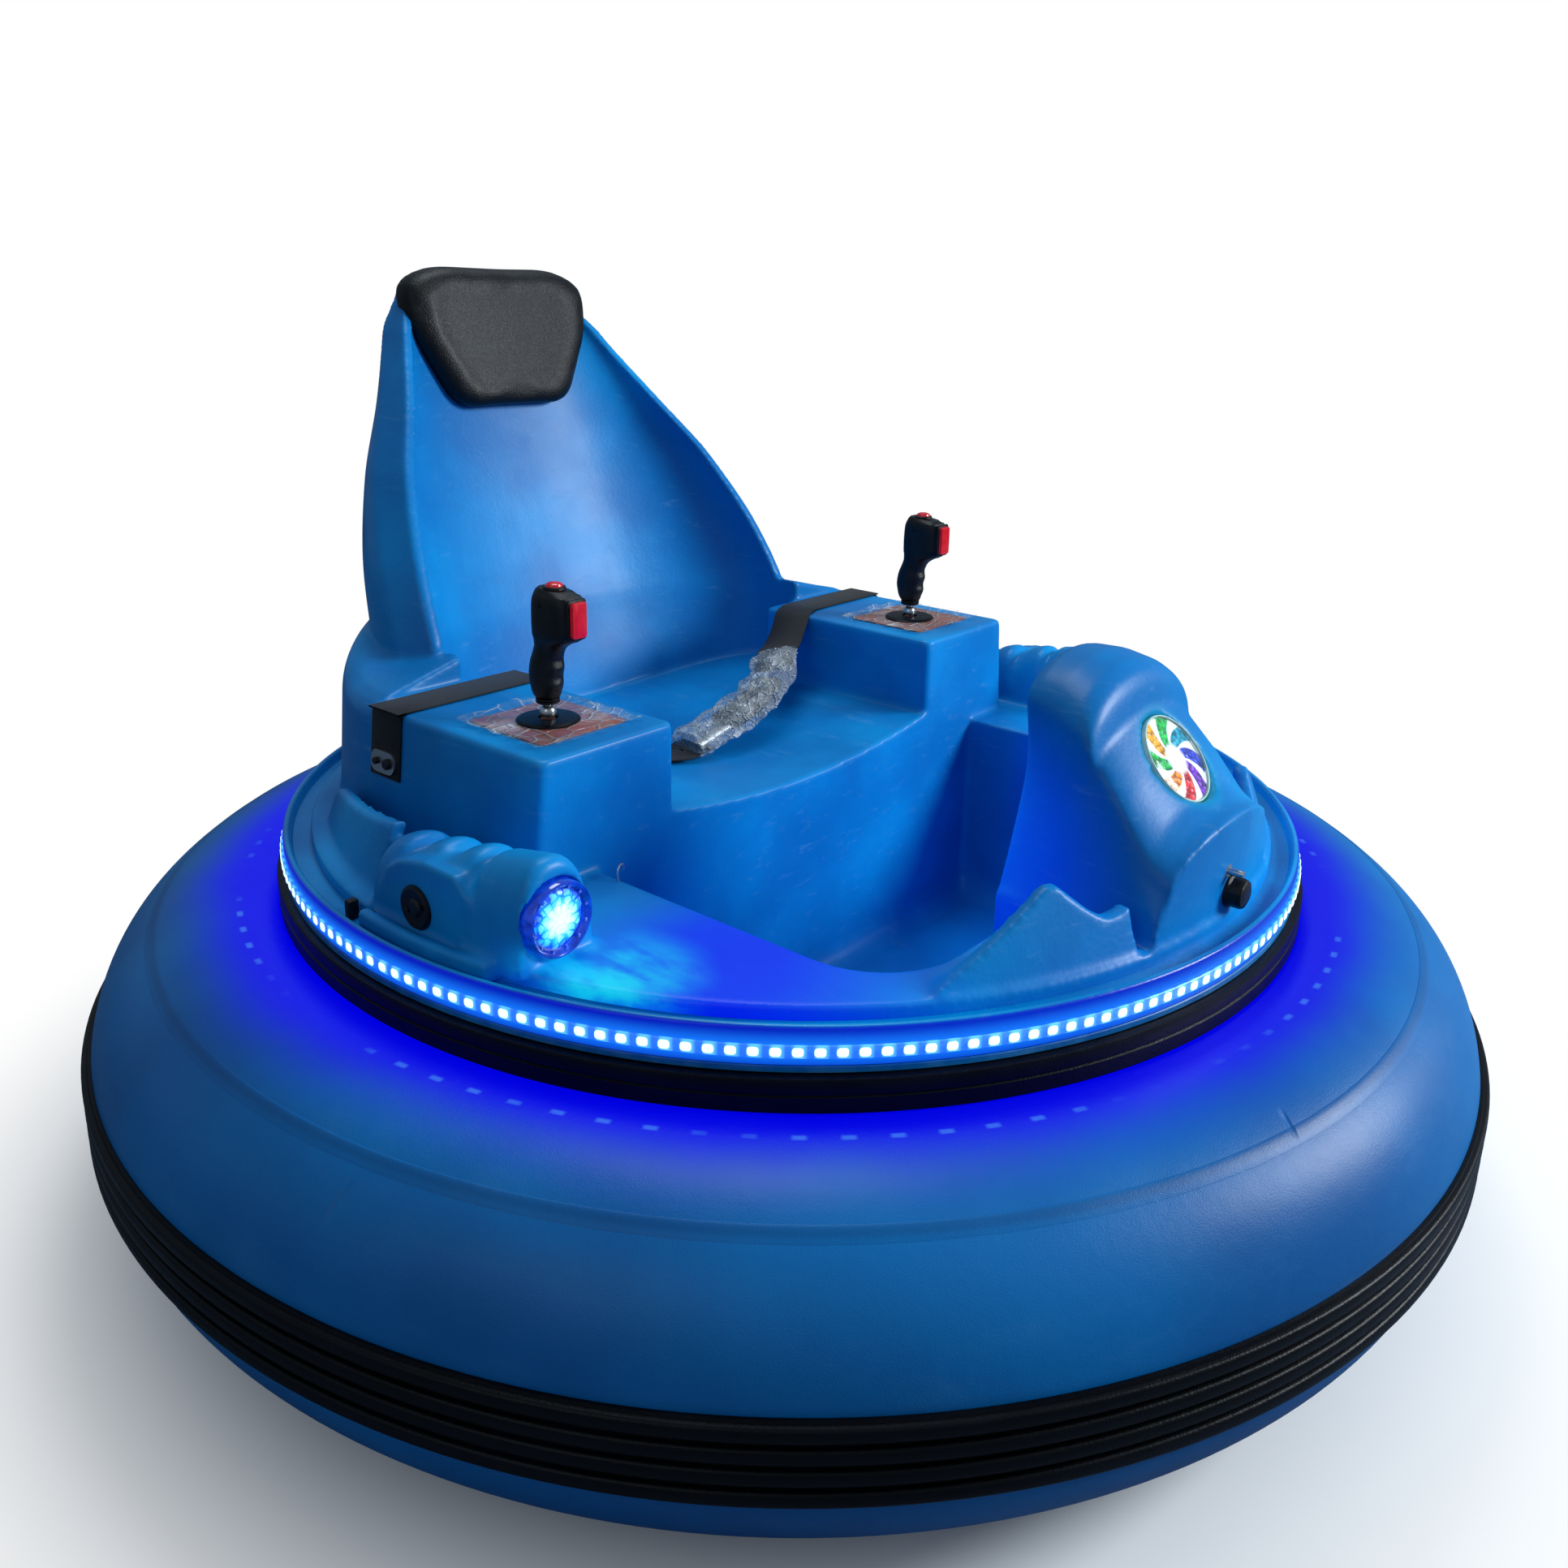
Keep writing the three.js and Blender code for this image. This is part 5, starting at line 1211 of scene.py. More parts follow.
def clear_film(name, cloudy, folds):
    """Thin clear film: mostly see-through; more opaque and whiter along its creases, partly as the film's own
    whitening and partly as a painted highlight, and its bump catches the light there.
    """
    film = Finish(name, {"Specular IOR Level": 0.6, "IOR": 1.45})
    # Painted highlight: along the folds the film turns more opaque, so its pale colour shows as white
    # crinkles, partly the film's own whitening.
    fold = 1 - film.cells(folds, "DISTANCE_TO_EDGE", (1.0, 1.6, 1.0)).ramp(0.0, 0.12)
    haze = film.grain(folds * 0.5, 5.0, (1, 1, 1), 0.65).ramp(0.42, 0.72)
    film.feed(base_color=film.mix(haze, paint(196, 206, 212), paint(240, 245, 248)))
    film.feed(roughness=haze * 0.2 + 0.08, alpha=fold * 0.4 + haze * 0.32 + cloudy)
    film.bump(fold + haze * 0.8 + film.grain(folds * 1.4, 4.0), 0.0035)
    return film


panel_film = clear_film("panel_film", 0.03, 42.0)
sleeve_film = clear_film("sleeve_film", 0.24, 75.0)
print("finishes:", len(bpy.data.materials))

# %% Panels and washers
STICK_X, STICK_Y, PANEL_HALF = 300, 58, 53
PANEL_Z, PANEL_TOP_Z, BALL_Z = CONSOLE_Z + 0.3, CONSOLE_Z + 1.8, CONSOLE_Z + 10.1
FILM_HALF, FILM_STEPS = 64, 40
# radius, height over the panel
WASHER_ROWS = ((9.5, 0.5), (30.5, 0.5), (31, 1.2), (29.5, 2.6), (26, 3.1), (14, 3.3), (11, 3.6), (9.5, 3.3))


def film_height(x, y):
    """The film lies flat in the middle and curls a little towards its torn edges."""
    out = max(abs(x), abs(y)) / FILM_HALF
    lift = max(out - 0.86, 0) ** 1.5 * 60 * (0.4 + abs(noise.noise(Vector((x / 19, y / 19, 3.0)))) * 2)
    return PANEL_TOP_Z + 0.35 + lift + 0.25 * noise.noise(Vector((x / 7, y / 7, 0))) * (out > 0.8)


def film_shape(side):
    span = np.linspace(-FILM_HALF, FILM_HALF, FILM_STEPS)
    wobble = lambda a, b: a * (1 + 0.04 * noise.noise(Vector((a / 30, b / 30, 7.0))))
    grid = [(side * STICK_X + wobble(x, y), STICK_Y + wobble(y, x), film_height(x, y))
            for y in span for x in span]
    starts = [r * FILM_STEPS + c for r in range(FILM_STEPS - 1) for c in range(FILM_STEPS - 1)]
    faces = [(k, k + 1, k + FILM_STEPS + 1, k + FILM_STEPS) for k in starts]
    return np.array(grid), faces


for side_name, side in SIDES:
    middle = (side * STICK_X, STICK_Y)
    outline = rounded(-PANEL_HALF, PANEL_HALF, -PANEL_HALF, PANEL_HALF, 5) + middle
    sheet = skin([level(outline, PANEL_Z), level(outline, PANEL_TOP_Z - 0.3),
                  level((outline - middle) * 0.994 + middle, PANEL_TOP_Z)])
    make(f"panel_sheet_{side_name}", sheet, terracotta, slot="panel_film",
         replaces=[f"control_panel_{side_name}"])
    make(f"panel_film_{side_name}", film_shape(side), panel_film, slot="clear_film", crease=60)
    washer = moved(spun(WASHER_ROWS, 64), (*middle, PANEL_TOP_Z))
    make(f"rubber_washer_{side_name}", washer, rubber, slot="black_rubber",
         replaces=[f"dust_washer_{side_name}"])

# %% Sticks
GRIP_LOW, GRIP_LONG, HEAD_FORWARD, HEAD_HALF = 16, 108, 18, 26
# share of the length, half width, half depth, how far forward
GRIP_ROWS = (
    (0, 9.5, 9.5, 0), (0.03, 12.5, 13, 0), (0.08, 13.6, 15.4, -0.5), (0.2, 14.6, 17.6, -1),
    (0.33, 14.4, 17.2, 0.5), (0.45, 13.6, 15.4, 4), (0.53, 14.2, 19.5, 10.5), (0.57, 16, 24, 16.5),
    (0.62, 16.8, 25.6, 18), (0.75, 16.8, 25.8, 18), (0.9, 16.4, 25, 18), (0.96, 15, 22.5, 17.5),
    (1.0, 11.5, 17.5, 16.5),
)


def grip_shape(side):
    rings = []
    for share in np.linspace(0, 1, 46):
        half_x, half_y, forward = (on_curve(GRIP_ROWS, share, c) for c in (1, 2, 3))
        square = 2.2 + 1.6 * min(max((share - 0.5) / 0.1, 0), 1)
        outline = arc(half_x, half_y, square, 0, 4, 48)[:-1]
        front = np.clip(-outline[:, 1] / half_y, 0, 1) ** 2 * (share < 0.5)
        outline[:, 1] += front * 1.1 * np.sin((share - 0.02) * 2 * math.pi / 0.155)
        head_rise = 4.0 * (share > 0.97) * (outline[:, 1] / half_y)
        outline += (side * STICK_X, STICK_Y - forward)
        rings.append(np.column_stack([outline, BALL_Z + GRIP_LOW + GRIP_LONG * share - 2 + head_rise * 0.5]))
    return skin(rings)


def trigger_shape(side, half_wide, half_high, thick, back, middle_z):
    outline = rounded(-half_wide, half_wide, -half_high, half_high, 3.2)
    rings = []
    for out, inset in ((0, 0), (thick - 1.2, 0), (thick - 0.3, 0.6), (thick, 1.6)):
        scaled = outline * ((half_wide - inset) / half_wide, (half_high - inset) / half_high)
        tip = (scaled[:, 1] / half_high) ** 2 * 0.8 * (out > 1)
        rings.append(np.column_stack([scaled[:, 0] + side * STICK_X, back - out - tip,
                                      scaled[:, 1] + middle_z]))
    return skin(rings)


for side_name, side in SIDES:
    stick = f"stick_{side_name}"
    middle = np.array([side * STICK_X, STICK_Y, 0])
    foot = middle + (0, 0, BALL_Z)
    globe = [(8 * math.cos(a), 8 * math.sin(a)) for a in np.linspace(-1.3, 1.1, 12)]
    ball = [(0, -8), *globe, (5, 9), (5, 16), (0, 16)]
    shaft = moved(spun(ball, 32, closed=False), foot)
    make(f"ball_shaft_{side_name}", shaft, steel, body=stick, slot="bright_steel",
         replaces=[f"stick_shaft_{side_name}"])
    make(f"moulded_grip_{side_name}", grip_shape(side), black, body=stick, slot="black_plastic",
         replaces=[f"stick_grip_{side_name}"], crease=50)
    collar = [(5.3, 9.5), (10.5, 9.5), (11.5, 10.5), (11.5, 12), (10.4, 12.6), (11.5, 13.2), (11.5, 14.6),
              (5.3, 15.5)]
    screw_y, screw_z = STICK_Y - HEAD_FORWARD + 8, BALL_Z + GRIP_LONG
    screws = [bar("x", 2.3, 1.6, (side * STICK_X + out * 16.6, screw_y, screw_z), 20, 0.3) for out in (-1, 1)]
    collars = merged(moved(spun(collar, 40), foot), *screws)
    make(f"grip_collar_{side_name}", collars, black, body=stick, slot="black_plastic")
    head_top = BALL_Z + GRIP_LOW + GRIP_LONG - 2
    button_at = middle + (0, 4 - HEAD_FORWARD, head_top)
    cap = [(0, 0.5), (8.4, 0.5), (8.4, 3.6), (7.6, 5.2), (5.2, 6.4), (0, 6.9)]
    button = moved(spun(cap, 40, closed=False), button_at)
    make(f"thumb_button_{side_name}", button, red, body=stick, slot="red_plastic",
         replaces=[f"stick_button_{side_name}"])
    ring = [(8.8, 0), (11, 0), (10.8, 2.2), (10, 3), (8.8, 3)]
    front = STICK_Y - HEAD_FORWARD - HEAD_HALF
    trigger_z = BALL_Z + GRIP_LOW + GRIP_LONG * 0.57 + 20
    frame_ring = trigger_shape(side, 11.4, 19.4, 2.4, front + 1.6, trigger_z)
    frames = merged(moved(spun(ring, 40), button_at), frame_ring)
    make(f"button_frames_{side_name}", frames, black, body=stick, slot="black_plastic")
    trigger = trigger_shape(side, 8.8, 16.8, 5.4, front + 0.6, trigger_z)
    make(f"rocker_trigger_{side_name}", trigger, red, body=stick, slot="red_plastic",
         replaces=[f"stick_trigger_{side_name}"])

# %% [markdown]
# ## The lap belt
# Two lengths of woven strap come over the consoles from steel anchors on their outer sides. The buckle
# between them is still in its clear film sleeve. A strap is too thin to remesh, so each is swept along
# its route with a thin rounded section, and the stitching is laid on it. The sleeve is a bag of film:
# a swept tube, crumpled by noise, with the buckle inside it.

# %% Strap and stitching
BELT_HALF, BELT_THICK = 24, 2
BELT_Y = CONSOLE_REAR_Y - 5 - BELT_HALF
BELT_LIFT = BELT_THICK / 2 + 0.6

webbing = Finish("webbing", {"Specular IOR Level": 0.25, "Sheen Weight": 0.08})
web_axes = webbing.axes()
rib = ((web_axes[1] + web_axes[2] * 0.7) * 2400.0).called("SINE") * 0.5 + 0.5
weft = ((web_axes[0] + web_axes[2]) * 3100.0).called("SINE") * 0.5 + 0.5
lint = webbing.grain(140.0, 5.0).ramp(0.5, 0.8)
webbing.feed(base_color=webbing.mix(lint * 0.5 + rib * 0.2, paint(5, 5, 7), paint(22, 23, 27)))
webbing.feed(roughness=rib * 0.1 + 0.5)
webbing.bump(rib * 0.6 + weft * 0.4 + lint * 0.2, 0.0004)


def seat_top(x):
    return SEAT_MID_Z + (SEAT_EDGE_Z - SEAT_MID_Z) * (x / SEAT_HALF) ** 2


def console_out(z):
    return CONSOLE_OUT + CONSOLE_DRAFT * (CONSOLE_Z - z) / (CONSOLE_Z - DECK_Z)


def over_console():
    """The right strap's route from its anchor over the console to the seat side."""
    radius, over = 8, CONSOLE_Z + BELT_LIFT
    low, inside = CONSOLE_Z - 66, -SEAT_HALF + BELT_LIFT
    route = [(-console_out(low) - BELT_LIFT, BELT_Y, low)]
    for x, start, end in ((-console_out(over - radius) - BELT_LIFT + radius, 2, 1), (inside - radius, 1, 0)):
        bend = arc(radius, radius, 2, start, end, 6)
        route += [(x + dx, BELT_Y, over - radius + dz) for dx, dz in bend]
    return route


# x, y, height over the seat
SLEEVE_ROWS = ((-58, 110, 9), (-48, 109, 11), (0, 107, 25), (52, 108, 36), (92, 116, 50), (124, 135, 63),
               (133, 142, 66))
SLEEVE_ROUTE = [(x, y, seat_top(x) + up) for x, y, up in SLEEVE_ROWS]


def into_sleeve(end, inner, reach=22):
    """The last points of a strap that runs square into an end of the sleeve."""
    end, inner = np.array(end, float), np.array(inner, float)
    out = (end - inner) / np.linalg.norm(end - inner)
    return [tuple(end + out * off) for off in (12, 0, -reach)]


inside_x = -SEAT_HALF + BELT_LIFT
on_seat = [(inside_x + out, BELT_Y - back, seat_top(inside_x + out) + 2 * BELT_LIFT)
           for out, back in ((24, 6), (60, 26), (100, 56))]
drop = [(inside_x + 1, BELT_Y, seat_top(inside_x) + 30), (inside_x + 8, BELT_Y, seat_top(inside_x) + 12)]
right_route = over_console() + drop + on_seat + into_sleeve(SLEEVE_ROUTE[0], SLEEVE_ROUTE[1])
left_over = [(-x, y, z) for x, y, z in over_console()[:-7]]
left_over += [(x, BELT_Y - back, CONSOLE_Z + BELT_LIFT - low) for x, back, low in
              ((262, 0, 0), (238, 4, 0), (218, 12, 2.5), (202, 21, 10))]
inner, end = SLEEVE_ROUTE[-2:]
sag = [tuple(np.array(left_over[-1]) + (np.array(end) - left_over[-1]) * share - (0, 0, 3))
       for share in (0.3, 0.6)]
left_route = left_over + sag + into_sleeve(end, inner)


def strap_section(half, thick):
    edge, soft = thick / 2, thick * 0.3
    return np.array([
        (-half, -soft), (-half, soft), (-half + 1, edge), (0, edge * 1.15), (half - 1, edge), (half, soft),
        (half, -soft), (half - 1, -edge), (0, -edge), (-half + 1, -edge),
    ])


def stitches(route, across, start, stop, pitch=4.0):
    """Short thread loops along a strap, at an offset across it, from one distance to another."""
    route = np.asarray(route, float)
    gone = np.concatenate([[0], np.cumsum(np.linalg.norm(np.diff(route, axis=0), axis=1))])
    loops = []
    for at in np.arange(start, stop, pitch):
        ends = [np.array([np.interp(at + off, gone, route[:, k]) for k in range(3)])
                for off in (0, pitch * 0.3, pitch * 0.6)]
        ahead = (ends[2] - ends[0]) / np.linalg.norm(ends[2] - ends[0])
        side = np.array([0, 1, 0]) - ahead * ahead[1]
        up = np.cross(ahead, side)
        path = [end + side * across + up * rise for end, rise in zip(ends, (0.9, 1.5, 0.9))]
        loops.append(skin(along(path, arc(0.35, 0.35, 2, 0, 4, 6)[:-1])))
    return loops


for side_name, route in (("right", right_route), ("left", left_route)):
    fine = smooth_path(route, 3)
    section = strap_section(BELT_HALF, BELT_THICK)
    strap = merged(skin(along(fine, section)), *stitches(fine, 12, 10, 34), *stitches(fine, -12, 10, 34))
    make(f"woven_strap_{side_name}", strap, webbing, slot="webbing", replaces=[f"lap_belt_{side_name}"],
         crease=60)

# %% Anchors
for side_name, side in SIDES:
    face = lambda z, more: -console_out(z) - BELT_THICK - 0.9 - more
    outline = rounded(-19, 19, -11, 11, 9) + (BELT_Y, CONSOLE_Z - 50)
    plate = skin([np.column_stack([[face(z, more) for _, z in outline], outline]) for more in (0, 2.2, 2.8)])
    heads = []
    for shift, radius in ((-9, 5.5), (9, 3.6)):
        stud = bar("x", radius, 4.4, (face(CONSOLE_Z - 50, 4.4), BELT_Y + shift, CONSOLE_Z - 50), 28, 0.9)
        heads.append(stud)
    plate, heads = (plate, merged(*heads)) if side < 0 else (flipped(plate), flipped(merged(*heads)))
    make(f"anchor_plate_{side_name}", plate, steel, slot="bright_steel",
         replaces=[f"belt_anchor_{side_name}"])
    make(f"anchor_studs_{side_name}", heads, black, slot="black_plastic")

# %% Buckle and sleeve
sleeve_fine = smooth_path(SLEEVE_ROUTE, 12)
sleeve_run = np.linspace(0, 1, len(sleeve_fine))


def sleeve_section(i):
    share = sleeve_run[i]
    fat = 0.42 + 0.58 * math.sin(math.pi * share) ** 0.45
    outline = arc(32 * (0.72 + 0.28 * fat), 18 * fat, 2.1, 0, 4, 72)[:-1]
    for k, (a, b) in enumerate(outline):
        place = Vector((a / 11, b / 9, i / 5.5))
        crumple = noise.turbulence(place, 4, False) - 0.5
        gathered = math.sin(k * 1.35) * 0.09 * (1 - fat)
        outline[k] *= 1 + 0.2 * crumple + gathered
    return outline


film_tube = skin(along(sleeve_fine + (0, 0, 5), sleeve_section))
make("film_sleeve", film_tube, sleeve_film, slot="clear_film", replaces=["buckle_sleeve"], crease=70)
buckle_path = [np.array(SLEEVE_ROUTE[k], float) + (0, 0, 5) for k in (2, 3, 4)]
buckle_path = smooth_path(buckle_path, 4)
case_section = arc(20, 7.5, 4, 0, 4, 32)[:-1]
case = skin(along(buckle_path, lambda i: case_section * (1 - 0.12 * (i in (0, len(buckle_path) - 1)))))
tongue_path = [np.array(SLEEVE_ROUTE[k], float) + (0, 0, 4) for k in (1, 2)]
tongue = skin(along(smooth_path(tongue_path, 4), strap_section(17, 3)))
make("buckle_case", case, black, slot="black_plastic")
make("buckle_tongue", tongue, steel, slot="bright_steel")

# %% [markdown]
# ## The lamps
# The front lamp is a disc of curved coloured blades that sweep out from a white centre, under a clear
# dome. Its pattern is pure arithmetic: the angle round the disc, twisted by the distance from the
# middle, is cut into blades and given a colour each. The headlights are clusters of cells that are
# white in the middle, turn cyan and then blue, inside a clear bezel.

# %% Lamp finishes
BLADES = 8
BLADE_COLOURS = ((20, 175, 60), (255, 140, 20), (235, 40, 30), (120, 30, 190), (40, 60, 220), (30, 170, 200),
                 (30, 190, 70), (250, 170, 30))

wheel = Finish("coloured_wheel", {"Roughness": 0.25, "Coat Weight": 0.6, "Emission Strength": 1.0})
wheel_axes = wheel.axes()
wheel_r = from_axis(wheel_axes) / (LAMP_R * MM)
wheel_turn = angle_round(wheel_axes) / (2 * math.pi) + 0.5
twisted = (wheel_turn + wheel_r * 0.13) * BLADES
blade_at = twisted.called("FRACT")
blade_index = twisted.called("FLOOR").called("MODULO", BLADES) / BLADES + 0.5 / BLADES
stops = [(k / BLADES, paint(*colour)) for k, colour in enumerate(BLADE_COLOURS)]
blade_colour = wheel.node("ShaderNodeValToRGB", {"stops": stops, "stepped": True}, {0: blade_index})
facets = wheel.cells(190.0).ramp(0.2, 0.8)
blade_colour = wheel.mix(facets * 0.7, blade_colour, paint(6, 8, 24))
arm = (blade_at - 0.5).called("ABSOLUTE") + (wheel_r - 0.5) * 0.22
coloured = (1 - arm.ramp(0.34, 0.42)) * wheel_r.ramp(0.24, 0.4)
wheel_light = wheel.mix(coloured, paint(250, 253, 255), blade_colour)
wheel_light = wheel.mix(wheel_r.ramp(0.9, 0.98), wheel_light, paint(20, 60, 50))
wheel.feed(emission_color=wheel_light, base_color=wheel.mix(coloured, paint(220, 225, 230), blade_colour))
wheel.bump(facets, 0.0006)

cluster = Finish("light_cluster", {"Roughness": 0.2, "Coat Weight": 0.6, "Emission Strength": 1.15})
cluster_axes = cluster.axes()
cluster_r = from_axis(cluster_axes) / (HEADLIGHT_R * MM)
petals = (angle_round(cluster_axes) * 9).called("COSINE") * 0.05
cell_walls = 1 - cluster.cells(150.0, "DISTANCE_TO_EDGE").ramp(0.02, 0.2)
light_r = cluster_r + petals + cell_walls * 0.07 + cluster.grain(90.0) * 0.06
light_stops = [(0.0, paint(250, 255, 255)), (0.4, paint(225, 255, 255)), (0.55, paint(90, 225, 255)),
               (0.68, paint(0, 170, 250)), (0.78, paint(0, 60, 225)), (0.9, paint(0, 14, 170))]
cluster_light = cluster.node("ShaderNodeValToRGB", {"stops": light_stops}, {0: light_r})
cluster.feed(emission_color=cluster_light)
cluster.feed(base_color=cluster.mix(cell_walls, paint(150, 210, 240), paint(40, 90, 200)))
cluster.bump(cell_walls, 0.0008)

glass = Finish("clear_lens", {"Transmission Weight": 1.0, "IOR": 1.2, "Specular IOR Level": 0.5})
lens_smear = glass.grain(60.0, 4.0)
glass.feed(base_color=glass.mix(lens_smear, paint(236, 246, 255), paint(250, 252, 255)))
glass.feed(roughness=lens_smear * 0.06)
# Painted light: the clear bezel glows blue as emission, for the headlight's light that it carries.
bezel = Finish("clear_bezel", {"Specular IOR Level": 0.7, "Coat Weight": 0.8, "Coat Roughness": 0.04,
                               "Emission Strength": 0.5})
bezel_grain = bezel.grain(110.0, 4.0)
bezel.feed(base_color=bezel.mix(bezel_grain, paint(2, 14, 100), paint(20, 70, 180)))
bezel.feed(roughness=bezel_grain * 0.2 + 0.05)
bezel.feed(emission_color=bezel.mix(bezel_grain.ramp(0.35, 0.7), paint(0, 8, 150), paint(0, 70, 235)))
chrome_rim = Finish("pale_rim", {"Specular IOR Level": 0.6, "Coat Weight": 0.5})
rim_grain = chrome_rim.grain(160.0, 3.0)
chrome_rim.feed(base_color=chrome_rim.mix(rim_grain, paint(150, 196, 180), paint(222, 240, 236)))
chrome_rim.feed(roughness=rim_grain * 0.2 + 0.1)
print("lamp finishes ready")


# %% Lamp shapes
def turn_to_front(middle, tilt=0.0):
    """The matrix, in metres, that carries a shape made about +Z to face the front at a middle."""
    c, s = math.cos(math.radians(tilt)), math.sin(math.radians(tilt))
    x, y, z = (value * MM for value in middle)
    return Matrix(((1, 0, 0, x), (0, s, -c, y), (0, c, s, z), (0, 0, 0, 1)))


def make_facing(name, shape, finish, middle, tilt=0.0, **where):
    made = mesh_object(name, shape)
    made.matrix_world = turn_to_front(middle, tilt)
    return fit(made, finish, **where)


def dome(radius, base, rise, steps=10):
    """A shallow dome's profile, from the axis to its edge and back under."""
    outside = [(radius * math.sin(a), base + rise * math.cos(a)) for a in np.linspace(0, math.pi / 2, steps)]
    inside = [(r * 0.955, z - 0.9) for r, z in outside[::-1]]
    return [*outside, *[(r, max(z, base)) for r, z in inside]]


face_profile = [(0, -13.5), (LAMP_R - 2.5, -13.5), (LAMP_R - 2.5, -3.2), (LAMP_R - 6, -2.6),
                (LAMP_R * 0.5, -2.2), (0, -2.0)]
make_facing("lamp_wheel", spun(face_profile, 96, closed=False), wheel, lamp_axis(0), LAMP_TILT,
            slot="lamp_lens", replaces=["front_lamp"])
ring_profile = [(LAMP_R - 2.4, -12), (LAMP_R, -12), (LAMP_R, -0.8), (LAMP_R - 0.7, 0.4),
                (LAMP_R - 1.9, 0.4), (LAMP_R - 2.4, -1)]
make_facing("lamp_rim", spun(ring_profile, 96), chrome_rim, lamp_axis(0), LAMP_TILT, slot="lamp_lens")
lamp_dome = spun(dome(LAMP_R - 2.6, -1.8, 4.2), 96, closed=False)
make_facing("lamp_dome", lamp_dome, glass, lamp_axis(0), LAMP_TILT, slot="lamp_lens")

for side_name, side in SIDES:
    eye = (side * POD_X, POD_FRONT_Y, HEADLIGHT_Z)
    cells = [(0, -11), (HEADLIGHT_R * 0.74, -11), (HEADLIGHT_R * 0.74, 2), (HEADLIGHT_R * 0.66, 4), (0, 5.5)]
    make_facing(f"headlight_cells_{side_name}", spun(cells, 72, closed=False), cluster, eye, slot="lamp_lens",
                replaces=[f"headlight_{side_name}"])
    cup = [(HEADLIGHT_R * 0.76, -11), (HEADLIGHT_R, -11), (HEADLIGHT_R, 4.5), (HEADLIGHT_R - 1, 7),
           (HEADLIGHT_R - 3, 7.6), (HEADLIGHT_R - 4.6, 6.4), (HEADLIGHT_R * 0.8, 3.2),
           (HEADLIGHT_R * 0.76, 3)]
    notches = []
    for k in range(12):
        bearing = k * math.pi / 6 + 0.2
        lug = block((HEADLIGHT_R * 0.78, -1.6, 2), (HEADLIGHT_R * 0.9, 1.6, 6.4), 0.7)
        notches.append(turned(lug, bearing))
    make_facing(f"headlight_bezel_{side_name}", merged(spun(cup, 72), *notches), bezel, eye, slot="lamp_lens")
    eye_dome = spun(dome(HEADLIGHT_R * 0.76, 3.2, 4.6), 72, closed=False)
    make_facing(f"headlight_dome_{side_name}", eye_dome, glass, eye, slot="lamp_lens")

# %% [markdown]
# ## Small fittings
# A bung closes each pod's arch panel, a black knob and a steel pin sit on the front panel, and small
# black clips hold the deck at the rear. They are tiny, but an eye up close looks for them.

# %% Bungs, knob and clips
BUNG_SEAT = (POD_OUT_X + 0.3, -10, 412)
KNOB_SEAT, PIN_SEAT = (0, -506.8, 411), (-7, -506, 432)

for side_name, side in SIDES:
    plug = [(0, 4.2), (6, 3.8), (8, 1.8), (12, 2.2), (17, 3.4), (19.5, 2.4), (20, 0), (0, -3)]
    points, faces = spun(plug, 48, closed=False)
    seat_x, seat_y, seat_z = BUNG_SEAT
    points = points[:, (2, 0, 1)] * (side, 1, 1) + (side * seat_x, seat_y, seat_z)
    screws = [bar("x", 2.6, 2.2, (side * (seat_x + 3.6), seat_y + shift, seat_z + rise), 16, 0.4)
              for shift, rise in ((-9, 3), (9, -4))]
    make(f"pod_bung_{side_name}", merged((points, faces), *screws), black, slot="black_plastic")

knob = [(0, 17), (9, 16.6), (12.6, 15), (14, 12), (14.3, 4), (15.5, 2.4), (15.5, 0), (0, 0)]
knob_points, knob_faces = spun(knob, 48, closed=False)
round_turn = np.arctan2(knob_points[:, 1], knob_points[:, 0])
flutes = (np.cos(round_turn * 6) > 0.55) * (knob_points[:, 2] > 3)
knob_points[:, :2] *= (1 - 0.045 * flutes)[:, None]
make("front_knob", placed((knob_points, knob_faces), KNOB_SEAT), black, slot="black_plastic", crease=30)
pin = merged(placed(spun([(0, 15), (3, 14.6), (3.4, 12), (3.4, 0), (0, 0)], 24, closed=False), PIN_SEAT),
             placed(spun([(0, 1.2), (6, 1.2), (6.4, 0), (0, 0)], 24, closed=False), PIN_SEAT))
make("front_pin", pin, steel, slot="bright_steel")

hook_route = [(-324, -62, 390), (-325, -62, 399), (-322, -61, 405), (-316, -60, 405), (-315, -60, 400)]
hook = skin(along(smooth_path(hook_route, 5), arc(1.3, 1.3, 2, 0, 4, 10)[:-1]))
make("corner_hook", hook, steel, slot="bright_steel")

clips = []
for side in (-1, 1):
    for degrees in (-8.0, -4.5):
        bearing = math.radians(degrees)
        x, y = side * 520 * math.cos(bearing), -520 * math.sin(bearing)
        clips.append(block((x - 5, y - 4, DECK_Z - 13), (x + 5, y + 4, DECK_Z + 5), 1.5))
make("deck_clips", merged(*clips), black, slot="black_plastic")

# %% [markdown]
# ## Underneath
# From below the car shows its steel chassis plate, two geared motors with their wheels, and a caster
# front and rear. Round parts are spun again with finer steps than the CAD needs. The tread, the
# cooling ribs, the wheel nuts and the plate's bolts are small shapes repeated in a loop. The casters'
# forks, the plate and the battery keep their CAD shape and get broken edges and a finish.

# %% Running gear finishes
tyre_rubber = Finish("tyre_rubber", {"Specular IOR Level": 0.35})
tread_dust = tyre_rubber.grain(28.0, 5.0).ramp(0.4, 0.75)
tyre_rubber.feed(base_color=tyre_rubber.mix(tread_dust * 0.7, paint(20, 20, 21), paint(70, 68, 64)))
tyre_rubber.feed(roughness=tread_dust * 0.2 + 0.6)
tyre_rubber.bump(tyre_rubber.grain(340.0, 4.0), 0.0004)

